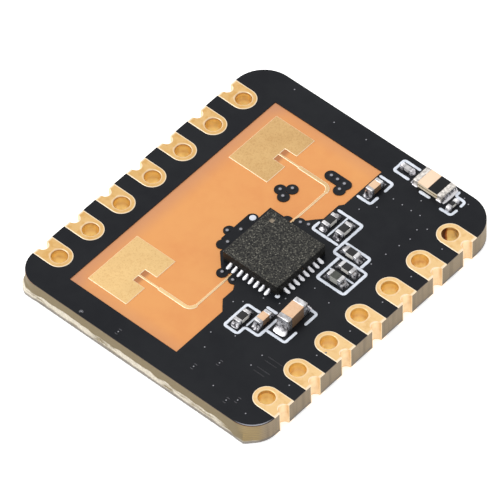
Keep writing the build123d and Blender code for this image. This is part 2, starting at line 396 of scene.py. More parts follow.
def ribbon(corners: tuple, width: float, thickness: float, seed: int, waver: float, tone: float) -> Skin:
    """A low ridge on the board's top, along a path whose corners are rounded.

    The path is the mean of the straight path over a short stretch round each of its points. Its half
    width shrinks to 0 at the ends as the square root of 1 - u x u, and elsewhere wavers.

    Args:
        corners: The path's corners, from the middle of the contact rows.
        width, thickness: The ridge's size.
        seed: Which of the random wavers it has.
        waver: How much of its width it wavers by.
        tone: The value for its points.

    Returns:
        The closed ridge.
    """
    corners = BOARD.on(corners)
    lengths = np.concatenate([[0], np.cumsum(np.hypot(*np.diff(corners, axis=0).T))])
    count = max(int(lengths[-1] / STEP), 8)
    along = np.linspace(0, lengths[-1], count)
    bend = 0.84 * width
    reach = np.minimum(along, lengths[-1] - along)[:, None] / bend
    near = along[:, None] + np.linspace(-bend, bend, 9) * np.minimum(reach, 1)
    path = np.stack([np.interp(near, lengths, corners[:, axis]).mean(1) for axis in (0, 1)], axis=-1)
    ahead = np.gradient(path, axis=0)
    ahead /= np.linalg.norm(ahead, axis=1, keepdims=True)
    across = np.stack([-ahead[:, 1], ahead[:, 0]], axis=-1)
    noise = np.random.default_rng(SEED + seed).uniform(-1, 1, count + 6)
    end = np.clip(1 - np.minimum(along, lengths[-1] - along) / (width / 2), 0, 0.97)
    half = width / 2 * np.sqrt(1 - end**2) * (1 + waver * np.convolve(noise, np.ones(7) / 7, "valid"))
    section = np.array([[-1, 0], [1, 0], [0.98, 0.5], [0.8, 0.95], [0, 1.05], [-0.8, 0.95], [-0.98, 0.5]])
    flat = path[:, None] + across[:, None] * half[:, None, None] * section[:, :1]
    return skins(raised(flat, BOARD.top - SUNK + (thickness + SUNK) * section[:, 1]), tone)


# Shader nodes


class Nodes:
    """A node tree that is written as short calls: each gives back the socket that it puts out."""

    def __init__(self, tree: bpy.types.NodeTree) -> None:
        """Keeps the tree; the coordinates that its textures share are made when they are first asked for."""
        self.tree = tree
        self.where: Socket | None = None

    def add(self, kind: str, inputs: dict | None = None, output: int | str = 0, **settings) -> Socket:
        """Adds one node.

        Args:
            kind: The node's type.
            inputs: Values or sockets for its inputs, by name or number.
            output: The output that is given back.
            settings: The node's own settings.

        Returns:
            The output socket.
        """
        node = self.tree.nodes.new(kind)
        for key, value in settings.items():
            setattr(node, key, value)
        for key, value in (inputs or {}).items():
            if isinstance(value, Socket):
                self.tree.links.new(value, node.inputs[key])
            else:
                node.inputs[key].default_value = value
        return node.outputs[output]

    def coordinates(self) -> Socket:
        """The point on the object in its own coordinates.

        Returns:
            The coordinates, from one node for the whole tree.
        """
        if self.where is None:
            self.where = self.add("ShaderNodeTexCoord", output="Object")
        return self.where

    def noise(self, scale: float, detail: float = 3.0, output: str = "Fac", **inputs) -> Socket:
        """Soft noise with this many waves a metre."""
        given = {"Vector": self.coordinates(), "Scale": scale, "Detail": detail} | inputs
        return self.add("ShaderNodeTexNoise", given, output)

    def ramp(self, value: Socket, low: float, high: float) -> Socket:
        """A value that goes smoothly from 0 at low to 1 at high."""
        inputs = {"Value": value, "From Min": low, "From Max": high}
        return self.add("ShaderNodeMapRange", inputs, interpolation_type="SMOOTHSTEP")

    def within(self, place: Socket, low: float, high: float) -> Socket:
        """As ramp(), between two places given in millimetres."""
        return self.ramp(place, low * METRES, high * METRES)

    def math(self, operation: str, *values: Socket | float) -> Socket:
        """One sum of one, two or three values."""
        return self.add("ShaderNodeMath", dict(enumerate(values)), operation=operation)

    def times(self, first: Socket, second: Socket | float) -> Socket:
        """The product of two values."""
        return self.math("MULTIPLY", first, second)

    def line(self, value: Socket, slope: Socket | float, start: Socket | float) -> Socket:
        """A value times the slope, plus the start."""
        return self.math("MULTIPLY_ADD", value, slope, start)

    def mix(self, share: Socket | float, first: object, second: object) -> Socket:
        """A colour between two colours."""
        colours = [(*c, 1.0) if isinstance(c, tuple) and len(c) == 3 else c for c in (first, second)]
        return self.add("ShaderNodeMix", {0: share, 6: colours[0], 7: colours[1]}, 2, data_type="RGBA")

    def axis(self, axis: Axis) -> Socket:
        """One coordinate of the point on the object, in metres."""
        return self.add("ShaderNodeSeparateXYZ", {0: self.coordinates()}, axis.value)

    def off(self, axis: Axis, place: float) -> Socket:
        """How far the point is along an axis from a place given in millimetres, to either side."""
        return self.math("ABSOLUTE", self.math("SUBTRACT", self.axis(axis), place * METRES))

    def stretched(self, x: float, y: float, z: float) -> Socket:
        """The coordinates times a factor each, which draws a texture out along an axis."""
        return self.add("ShaderNodeVectorMath", {0: self.coordinates(), 1: (x, y, z)}, operation="MULTIPLY")

    def facing(self, axis: Axis) -> Socket:
        """How far the surface faces along an axis, from -1 to 1."""
        normal = self.add("ShaderNodeNewGeometry", output="Normal")
        return self.add("ShaderNodeSeparateXYZ", {0: normal}, axis.value)

    def tone(self) -> Socket:
        """The value that the piece's own mesh carries at each point."""
        return self.add("ShaderNodeAttribute", output="Fac", attribute_name="tone")


class Effect(Enum):
    """The effects that several finishes share, each a group of shader nodes."""

    MOTTLE = "Mottle"
    SPECKLE = "Speckle"
    PEEL = "Orange peel"
    WALLS = "Walls"


def effect_group(effect: Effect) -> bpy.types.NodeTree:
    """Makes or finds the group of nodes of an effect.

    Args:
        effect: Which effect.

    Returns:
        The group, which takes a scale, in waves a metre for a texture, and gives a value from 0 to 1.
    """
    if effect.value in bpy.data.node_groups:
        return bpy.data.node_groups[effect.value]
    group = bpy.data.node_groups.new(effect.value, "ShaderNodeTree")
    group.interface.new_socket("Scale", in_out="INPUT", socket_type="NodeSocketFloat")
    group.interface.new_socket("Value", in_out="OUTPUT", socket_type="NodeSocketFloat")
    nodes = Nodes(group)
    scale = nodes.add("NodeGroupInput", output="Scale")
    match effect:
        case Effect.MOTTLE:
            wide = nodes.noise(1.0, 2.0, Scale=scale)
            fine = nodes.noise(1.0, 4.0, Scale=nodes.times(scale, 5.3))
            value = nodes.line(fine, 0.35, nodes.times(wide, 0.65))
        case Effect.SPECKLE:
            cells = {"Vector": nodes.coordinates(), "Scale": scale}
            flecks = nodes.add("ShaderNodeTexVoronoi", cells, "Distance", feature="F1")
            rough = nodes.noise(1.0, 5.0, Scale=nodes.times(scale, 1.7))
            value = nodes.times(nodes.ramp(flecks, 0.62, 0.1), nodes.ramp(rough, 0.46, 0.62))
        case Effect.PEEL:
            soft = nodes.noise(1.0, 1.5, Scale=scale, Roughness=0.4)
            value = nodes.ramp(soft, 0.25, 0.75)
        case Effect.WALLS:
            value = nodes.times(nodes.ramp(nodes.math("ABSOLUTE", nodes.facing(Axis.Z)), 0.6, 0.2), scale)
    out = group.nodes.new("NodeGroupOutput")
    group.links.new(value, out.inputs["Value"])
    return group


class Shade(Nodes):
    """A material's nodes, ending in a Principled shader whose sockets the finish fills in."""

    def __init__(self, name: str, **fixed: float | Colour) -> None:
        """Starts a material.

        Args:
            name: The material's name.
            fixed: Values set on the shader's own sockets, with _ for a space in a socket's name.
        """
        self.material = bpy.data.materials.new(name)
        self.material.use_nodes = True
        super().__init__(self.material.node_tree)
        self.shader = self.tree.nodes["Principled BSDF"]
        for key, value in fixed.items():
            socket = self.shader.inputs[key.replace("_", " ")]
            socket.default_value = (*value, 1.0) if isinstance(value, tuple) else value

    def effect(self, effect: Effect, scale: float) -> Socket:
        """The value of a shared effect at this scale."""
        return self.add("ShaderNodeGroup", {"Scale": scale}, "Value", node_tree=effect_group(effect))

    def feed(self, name: str, value: Socket) -> None:
        """Links a value to one of the shader's sockets."""
        self.tree.links.new(value, self.shader.inputs[name])

    def finished(self, colour: Socket, grain: Socket, roughness: float, spread: float, height: Socket,
                 depth: float) -> Material:
        """Feeds the shader and gives back the material.

        Args:
            colour: The base colour.
            grain: A value from 0 to 1 that makes the surface rougher.
            roughness, spread: The roughness where the grain is 0, and what it gains where the grain is 1.
            height: A value from 0 to 1 that bumps the surface.
            depth: What a height of 1 stands for, in millimetres.

        Returns:
            The material.
        """
        self.feed("Base Color", colour)
        self.feed("Roughness", self.line(grain, spread, roughness))
        bump = {"Height": height, "Distance": depth * METRES, "Strength": 1.0}
        self.feed("Normal", self.add("ShaderNodeBump", bump, "Normal"))
        return self.material


@dataclass(frozen=True)
class SolderMask:
    """Black epoxy mask: satin, with a faint orange peel and a slow drift between blue and brown black."""

    dark: Colour = srgb(14, 16, 22)
    light: Colour = srgb(24, 26, 30)
    # painted shade: dark brown on the mask's upright walls, for the shadow line along its edges
    wall: Colour = srgb(46, 28, 20)
    # painted glint: the pale grey that the tone paints on via domes, trace ridges, arcs and the corner's rim
    painted_glint: Colour = srgb(150, 150, 156)
    peel_scale: float = 2600.0
    peel_depth: float = 0.0012

    def build(self) -> Material:
        """The mask's material: painted shade in brown on its upright walls, and painted glints in pale grey where the
        mesh's tone is high.

        Returns:
            The material.
        """
        shade = Shade("Solder mask", Specular_IOR_Level=0.16)
        drift = shade.effect(Effect.MOTTLE, 240.0)
        colour = shade.mix(shade.ramp(drift, 0.3, 0.7), self.dark, self.light)
        # painted glint where the tone is high
        colour = shade.mix(shade.ramp(shade.tone(), 0.3, 1.0), colour, self.painted_glint)
        # painted shade on the upright walls
        colour = shade.mix(shade.effect(Effect.WALLS, 1.0), colour, self.wall)
        peel = shade.effect(Effect.PEEL, self.peel_scale)
        return shade.finished(colour, peel, 0.3, 0.1, peel, self.peel_depth)


@dataclass(frozen=True)
class Laminate:
    """Glass-epoxy laminate: orange on its bare top, khaki and layered on its cut edges, masked below."""

    face: Colour = srgb(222, 154, 90)
    face_warm: Colour = srgb(217, 145, 84)
    face_pink: Colour = srgb(197, 137, 98)
    cut: Colour = srgb(122, 107, 75)
    cut_corner: Colour = srgb(152, 130, 86)
    cut_grey: Colour = srgb(146, 129, 104)
    cut_dark: Colour = srgb(108, 94, 74)
    # painted shade: a darker grey band at the foot of the cut edge, for the shaded undersides of torn glass
    foot: Colour = srgb(112, 106, 100)
    fray: Colour = srgb(228, 220, 204)
    under: Colour = srgb(24, 25, 29)
    window_left: float = -6.1
    window_middle_y: float = -0.175
    window_half: float = 8.52
    # painted shade: darker brown in the antennas' slots, where the thick copper shades the laminate
    slot: Colour = srgb(176, 116, 72)
    slot_from: float = -3.4
    slot_to: float = -2.9
    slot_half: float = 0.485
    slot_middle: float = 5.8
    end_fade: float = 1.1
    left_fade: float = 1.3
    foot_from: float = 0.38
    foot_to: float = 0.26

    def top(self, shade: Shade) -> Socket:
        """The bare top's colour: even orange, pinker towards the window's left side and its ends, with painted shade
        in the antennas' slots.

        Args:
            shade: The material's nodes.

        Returns:
            The colour.
        """
        drift = shade.effect(Effect.MOTTLE, 260.0)
        colour = shade.mix(shade.ramp(drift, 0.35, 0.68), self.face, self.face_warm)
        x, y = shade.axis(Axis.X), shade.off(Axis.Y, self.window_middle_y)
        left = shade.within(x, self.window_left + self.left_fade, self.window_left)
        ends = shade.within(y, self.window_half - self.end_fade, self.window_half)
        share = shade.math("MINIMUM", shade.line(ends, 0.45, shade.times(left, 0.8)), 1.0)
        colour = shade.mix(share, colour, self.face_pink)
        # painted shade in the slots beside the feed lines
        out = shade.math("ABSOLUTE", shade.math("SUBTRACT", y, self.slot_middle * METRES))
        slot = shade.within(out, self.slot_half + 0.03, self.slot_half)
        deep = shade.within(x, self.slot_to, self.slot_to - 0.3)
        bound = shade.within(x, self.slot_from - 0.05, self.slot_from)
        return shade.mix(shade.times(slot, shade.times(deep, bound)), colour, self.slot)

    def side(self, shade: Shade) -> Socket:
        """The cut edge's colour: fine layers, greyer across the rows, torn glass where the tone says, and painted
        shade in a darker band at its foot.

        Args:
            shade: The material's nodes.

        Returns:
            The colour.
        """
        bands = {"Vector": shade.coordinates(), "Scale": 2100.0, "Distortion": 3.0, "Detail": 3.0,
                 "Detail Scale": 2.0}
        layers = shade.add("ShaderNodeTexWave", bands, "Fac", bands_direction="Z")
        across = shade.facing(Axis.X)
        colour = shade.mix(shade.ramp(across, 0.1, 0.5), self.cut, self.cut_corner)
        colour = shade.mix(shade.ramp(across, 0.75, 0.97), colour, self.cut_grey)
        colour = shade.mix(shade.times(layers, 0.35), colour, self.cut_dark)
        streaks = shade.ramp(shade.noise(3200.0, 2.0, Vector=shade.stretched(1.0, 1.0, 0.06)), 0.4, 0.75)
        streaks = shade.times(streaks, shade.ramp(across, 0.7, 0.95))
        colour = shade.mix(shade.times(streaks, 0.55), colour, self.cut_dark)
        fibres = shade.ramp(shade.noise(2600.0, 3.0, Vector=shade.stretched(0.3, 1.0, 1.3)), 0.28, 0.5)
        colour = shade.mix(shade.times(shade.tone(), fibres), colour, self.fray)
        # painted shade along the edge's foot, with an uneven upper line
        uneven = shade.line(shade.noise(900.0, 3.0), 0.2 * METRES, shade.axis(Axis.Z))
        return shade.mix(shade.times(shade.within(uneven, self.foot_from, self.foot_to), 0.85), colour, self.foot)

    def build(self) -> Material:
        """The laminate's material, told apart by the way each face looks.

        Returns:
            The material.
        """
        shade = Shade("Laminate", Specular_IOR_Level=0.3)
        up = shade.facing(Axis.Z)
        weave = shade.noise(2400.0, 3.0)
        colour = shade.mix(shade.ramp(up, 0.4, 0.7), self.side(shade), self.top(shade))
        colour = shade.mix(shade.ramp(up, -0.4, -0.7), colour, self.under)
        return shade.finished(colour, weave, 0.45, 0.2, weave, 0.004)


@dataclass(frozen=True)
class Gold:
    """Gold plating: satin, with painted highlights on its rims where the mesh says so, and painted light in amber and
    painted shadow in its holes.
    """

    name: str
    flat: Colour
    # deep: the plating's darker tone, shown at random by its mottle and also as painted shade towards one end
    deep: Colour
    # rim: painted highlight; hole: painted light inside the holes; shadow: painted shadow under their rims
    rim: Colour
    hole: Colour
    shadow: Colour = srgb(176, 104, 40)
    stain: Colour = srgb(84, 34, 18)
    along: Axis = Axis.X
    # painted shade: the plating turns deeper along the axis, from this place to its mirror
    lit_end: float = 7.0
    end_shade_share: float = 0.6
    grain_share: float = 0.35
    grain_scale: float = 3000.0
    roughness: float = 0.36

    def build(self) -> Material:
        """The plating's material, with painted shade that turns it deeper from one end of the board to the other.

        Returns:
            The material.
        """
        shade = Shade(self.name, Metallic=0.85)
        grain = shade.ramp(shade.noise(self.grain_scale, 4.0), 0.45, 0.7)
        drift = shade.effect(Effect.MOTTLE, 700.0)
        share = shade.line(shade.ramp(drift, 0.3, 0.7), 0.25, shade.times(grain, self.grain_share))
        # painted shade from one end of the board to the other
        across = shade.within(shade.axis(self.along), self.lit_end, -self.lit_end)
        share = shade.math("MINIMUM", shade.line(across, self.end_shade_share, share), 1.0)
        colour = shade.mix(share, self.flat, self.deep)
        tone = shade.tone()
        # painted highlight on rims, painted light and painted shadow in holes, then a real stain
        for low, high, other in ((0.05, 1.0, self.rim), (-0.05, -1.0, self.hole), (-1.0, -2.0, self.shadow),
                                 (-2.0, -3.2, self.stain)):
            colour = shade.mix(shade.ramp(tone, low, high), colour, other)
        peel = shade.effect(Effect.PEEL, 3.2 * self.grain_scale)
        return shade.finished(colour, grain, self.roughness, 0.2, peel, 0.0015)


@dataclass(frozen=True)
class Metal:
    """Bare metal: tinned ends or solder, with patches of another tone and a fine grain."""

    name: str
    bright: Colour
    dull: Colour
    roughness: float
    grain_depth: float
    metallic: float
    patch_scale: float = 2600.0
    dull_from: float = 0.35

    def build(self) -> Material:
        """The metal's material: brighter where the mesh's tone is over 0, and duller where it is under 0.

        Returns:
            The material.
        """
        shade = Shade(self.name, Metallic=self.metallic)
        drift = shade.effect(Effect.MOTTLE, self.patch_scale)
        share = shade.ramp(drift, self.dull_from, self.dull_from + 0.3)
        colour = shade.mix(shade.math("SUBTRACT", share, shade.tone()), self.bright, self.dull)
        grain = shade.effect(Effect.PEEL, 9000.0)
        return shade.finished(colour, grain, self.roughness, 0.15, grain, self.grain_depth)


@dataclass(frozen=True)
class Ceramic:
    """A fired or moulded body: matt or satin, in two close tones, with fine pits."""

    name: str
    light: Colour
    dark: Colour
    roughness: float
    speckle_scale: float = 6000.0
    pit_depth: float = 0.002
    wall_shade: float = 0.0
    wall_gain: float = 0.2

    def build(self) -> Material:
        """The body's material.

        Returns:
            The material.
        """
        shade = Shade(self.name, Specular_IOR_Level=0.35)
        drift = shade.effect(Effect.MOTTLE, self.speckle_scale / 4)
        pits = shade.effect(Effect.SPECKLE, self.speckle_scale)
        share = shade.line(shade.ramp(drift, 0.35, 0.65), 0.5, shade.times(pits, 0.5))
        colour = shade.mix(share, self.light, self.dark)
        # upright walls: painted shade on the capacitor, the real paler sides on the ferrite
        wall = tuple(self.wall_gain * value for value in self.dark)
        colour = shade.mix(shade.effect(Effect.WALLS, self.wall_shade), colour, wall)
        return shade.finished(colour, drift, self.roughness, 0.2, pits, self.pit_depth)


@dataclass(frozen=True)
class ChipPlastic:
    """The chip's moulding compound: a coarse pale speckle on its top, and darker sawn sides."""

    dark: Colour = srgb(4, 4, 4)
    light: Colour = srgb(55, 54, 49)
    fleck: Colour = srgb(128, 125, 114)
    dimple: Colour = srgb(134, 121, 104)
    sawn: Colour = srgb(24, 23, 21)
    fleck_scale: float = 9500.0

    def build(self) -> Material:
        """The chip's material.

        Returns:
            The material.
        """
        shade = Shade("Chip plastic", Specular_IOR_Level=0.3)
        grain = shade.ramp(shade.noise(self.fleck_scale, 3.0), 0.44, 0.6)
        flecks = shade.effect(Effect.SPECKLE, self.fleck_scale * 0.8)
        colour = shade.mix(grain, self.dark, self.light)
        colour = shade.mix(flecks, colour, self.fleck)
        colour = shade.mix(shade.ramp(shade.tone(), 0.1, 0.9), colour, self.dimple)
        colour = shade.mix(shade.effect(Effect.WALLS, 1.0), colour, self.sawn)
        return shade.finished(colour, grain, 0.5, 0.2, grain, 0.005)


@dataclass(frozen=True)
class DiodeCase:
    """The protection diode's moulded case: pale beige, with a dark band across it near one end."""

    beige: Colour = srgb(243, 213, 186)
    shadow: Colour = srgb(228, 192, 158)
    band: Colour = srgb(18, 19, 21)
    front: Colour = srgb(234, 220, 194)
    seam: Colour = srgb(150, 124, 84)
    band_from: float = 4.77
    band_to: float = 5.48
    seam_level: float = 1.74

    def build(self) -> Material:
        """The case's material, with a seam line round its pale walls.

        Returns:
            The material.
        """
        shade = Shade("Diode case", Specular_IOR_Level=0.2)
        x = shade.axis(Axis.X)
        drift = shade.effect(Effect.MOTTLE, 1500.0)
        left = shade.within(x, self.band_from - 0.02, self.band_from + 0.02)
        right = shade.within(x, self.band_to + 0.02, self.band_to - 0.02)
        colour = shade.mix(shade.times(drift, 0.5), self.beige, self.shadow)
        colour = shade.mix(shade.times(left, right), colour, self.band)
        wall = shade.mix(shade.within(shade.off(Axis.Z, self.seam_level), 0.06, 0.02), self.front, self.seam)
        colour = shade.mix(shade.effect(Effect.WALLS, 1.0), colour, wall)
        return shade.finished(colour, drift, 0.35, 0.2, shade.effect(Effect.PEEL, 5000.0), 0.002)


Look = SolderMask | Laminate | Gold | Metal | Ceramic | ChipPlastic | DiodeCase


def made(look: Look, slot: Slot) -> Finish:
    """A dataclass field that holds a look's finish, whose material is built with the dataclass."""
    return field(default_factory=lambda: Finish(look.build(), slot))


@dataclass(frozen=True)
class Finishes:
    """The finishes of the whole module."""

    mask: Finish = made(SolderMask(), Slot.MASK)
    laminate: Finish = made(Laminate(), Slot.LAMINATE)
    contact: Finish = made(Gold("Contact gold", srgb(240, 204, 148), srgb(216, 172, 106), srgb(250, 230, 200),
                                srgb(255, 226, 150)), Slot.CONTACT)
    antenna: Finish = made(Gold("Antenna gold", srgb(236, 200, 140), srgb(202, 162, 108), srgb(255, 232, 198),
                                srgb(202, 162, 108), along=Axis.Y, lit_end=-6.5, grain_scale=11000.0,
                                grain_share=0.24, roughness=0.42), Slot.ANTENNA)
    joint: Finish = made(Metal("Part solder", srgb(236, 234, 238), srgb(36, 34, 39), 0.2, 0.004, 0.7, 4600.0,
                               0.32), Slot.SOLDER)
    solder: Finish = made(Metal("Solder", srgb(250, 251, 255), srgb(206, 206, 212), 0.24, 0.003, 0.6), Slot.SOLDER)
    tinned: Finish = made(Metal("Tinned metal", srgb(226, 225, 226), srgb(160, 158, 160), 0.24, 0.003, 0.9),
                          Slot.TINNED)
    chip: Finish = made(ChipPlastic(), Slot.CHIP)
    alumina: Finish = made(Ceramic("Alumina", srgb(236, 234, 228), srgb(205, 202, 196), 0.5), Slot.ALUMINA)
    overcoat: Finish = made(Ceramic("Resistor overcoat", srgb(30, 30, 31), srgb(20, 20, 22), 0.3), Slot.OVERCOAT)
    # painted shade on the capacitor's upright walls
    capacitor: Finish = made(Ceramic("Capacitor ceramic", srgb(226, 190, 156), srgb(210, 166, 128), 0.42,
                                     wall_shade=0.92), Slot.CAPACITOR)
    ferrite: Finish = made(Ceramic("Ferrite", srgb(74, 76, 70), srgb(47, 47, 45), 0.45, wall_shade=0.85,
                                   wall_gain=17.0), Slot.FERRITE)
    pale: Finish = made(Ceramic("Pale ceramic", srgb(204, 202, 202), srgb(150, 148, 150), 0.35), Slot.ALUMINA)
    diode: Finish = made(DiodeCase(), Slot.DIODE)
    diode_ends: Finish = made(Metal("Diode ends", srgb(244, 238, 230), srgb(160, 154, 150), 0.3, 0.003, 0.4,
                                    7000.0), Slot.TINNED)
    ink: Finish = made(Ceramic("Silkscreen ink", srgb(224, 229, 238), srgb(190, 196, 207), 0.5, 3600.0, 0.003),
                       Slot.ALUMINA)


# The board


@dataclass(frozen=True)
class BoardEdge:
    """The board's near edge, which was cut half through and then broken, so that its lower half is frayed."""

    depth: float = 0.09
    corner_depth: float = 0.03
    cut_height: float = 0.74
    cut_waver: float = 0.03
    cut_waves: int = 14
    cut_drops: tuple = ((6.4, 7.3, 0.5), (-7.2, -8.0, 0.1))
    fray_fade: float = 0.07
    fray_depth: float = 0.075
    fray_least: float = 0.35
    fray_foot: float = 0.12
    fray_foot_share: float = 0.4
    tone_least: float = 0.6
    corner_fade: float = 0.15
    left_turn: float = radians(62)
    right_turn: float = radians(56)
    proud: float = 0.006
    burr_height: float = 0.9
    burr_fade: float = 0.5
    burr_turns: tuple = (-1.08, -0.85, 0.38, 0.72)
    burr_sizes: tuple = (0.0, 0.2, 0.14, 0.0)
    merge: float = 1e-7
    columns: int = 620
    rows: int = 30

    def path(self) -> tuple[np.ndarray, np.ndarray]:
        """The board's outline along the near edge and some way round both corners.

        On a corner's arc the point is the corner's centre plus the radius times the sine of the turn
        along X and minus its cosine along Y.

        Returns:
            Points as (columns, 2), and the turn of the outward direction from straight ahead at each.
        """
        radius = BOARD.near_corner_radius
        straight = BOARD.width / 2 - radius
        along = np.linspace(-straight - radius * self.left_turn, straight + radius * self.right_turn, self.columns)
        x = np.clip(along, -straight, straight)
        turn = (along - x) / radius
        centre_y = radius - BOARD.length / 2
        return np.stack([x + radius * np.sin(turn), centre_y - radius * np.cos(turn)], axis=-1), turn

    def skin(self) -> Skin:
        """The strip that carries the edge's face.

        The face lies at the outline where the board was cut. Below a ragged line, which wavers as a sum
        of sines and drops by the last value of cut_drops between its first two, it goes in by
        fray_depth times a product of sines along the edge and Z that stands for torn layers of glass,
        and this fades on the corners, where the strip lies just on the core. Low on each corner torn glass
        stands out to the edge's line, by radius x (1 / cos turn - 1), as far as burr_sizes let it, and no
        point passes that line.

        Returns:
            A closed strip from the laminate's underside to its top.
        """
        line, turn = self.path()
        outward = circle(turn - pi / 2)[:, None]
        x = line[:, :1]
        z = np.linspace(BOARD.laminate_bottom, BOARD.mask_bottom, self.rows)[None]
        rng = np.random.default_rng(SEED)
        waves, starts = rng.uniform(0.8, 9.0, self.cut_waves), rng.uniform(0, 2 * pi, self.cut_waves)
        cut = self.cut_height + (np.sin(x[..., None] * waves + starts) / np.sqrt(waves)).sum(-1) * self.cut_waver
        for start, end, drop in self.cut_drops:
            cut = cut - drop * np.clip((x - start) / (end - start), 0, 1)
        below = np.clip((cut - z) / self.fray_fade, 0, 1)
        torn = 0.5 + 0.5 * np.sin(x * 23 + 9 * np.sin(z * 7 + x)) * np.sin(z * 31 + 5 * np.sin(x * 11))
        foot = np.clip((z - BOARD.laminate_bottom) / self.fray_foot, 0, 1)
        inset = below * (self.fray_least + (1 - self.fray_least) * torn) * self.fray_depth
        inset = inset * (self.fray_foot_share + (1 - self.fray_foot_share) * foot)
        level = (1 - np.clip(np.abs(turn) / self.corner_fade, 0, 1))[:, None]
        to_line = BOARD.near_corner_radius * (1 / np.cos(turn) - 1)
        burr = np.minimum(to_line, np.interp(turn, self.burr_turns, self.burr_sizes))[:, None]
        burr = burr * np.clip((self.burr_height - z) / self.burr_fade, 0, 1)
        face = line[:, None] - outward * (inset * level - self.proud * (1 - level) - burr)[..., None]
        face[..., 1] = np.maximum(face[..., 1], -BOARD.length / 2)
        back = line[:, None] - outward * np.where(level > 0, self.depth, self.corner_depth)[..., None] + 0 * face
        section = np.concatenate([face, back[:, ::-1]], axis=1)
        front = below * (self.tone_least + (1 - self.tone_least) * torn)
        tone = np.concatenate([front, np.zeros_like(below)], axis=1)
        return skins(raised(section, np.concatenate([z, z[:, ::-1]], axis=1)), tone)

    def build(self, finishes: Finishes) -> None:
        """Cuts the laminate's copy back by the strip's depth, and puts the strip in front of it.

        Args:
            finishes: The module's finishes.
        """
        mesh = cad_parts["laminate"].data.copy()
        shape = bmesh.new()
        shape.from_mesh(mesh)
        bmesh.ops.remove_doubles(shape, verts=shape.verts, dist=self.merge)
        shape.to_mesh(mesh)
        shape.free()
        places = np.empty(len(mesh.vertices) * 3, np.float32)
        mesh.vertices.foreach_get("co", places)
        places[1::3] = np.maximum(places[1::3], (-BOARD.length / 2 + self.depth) * METRES)
        mesh.vertices.foreach_set("co", places)
        mesh.materials.clear()
        settle("laminate_core", mesh, finishes.laminate, "laminate")
        place("laminate_near_edge", self.skin(), finishes.laminate)


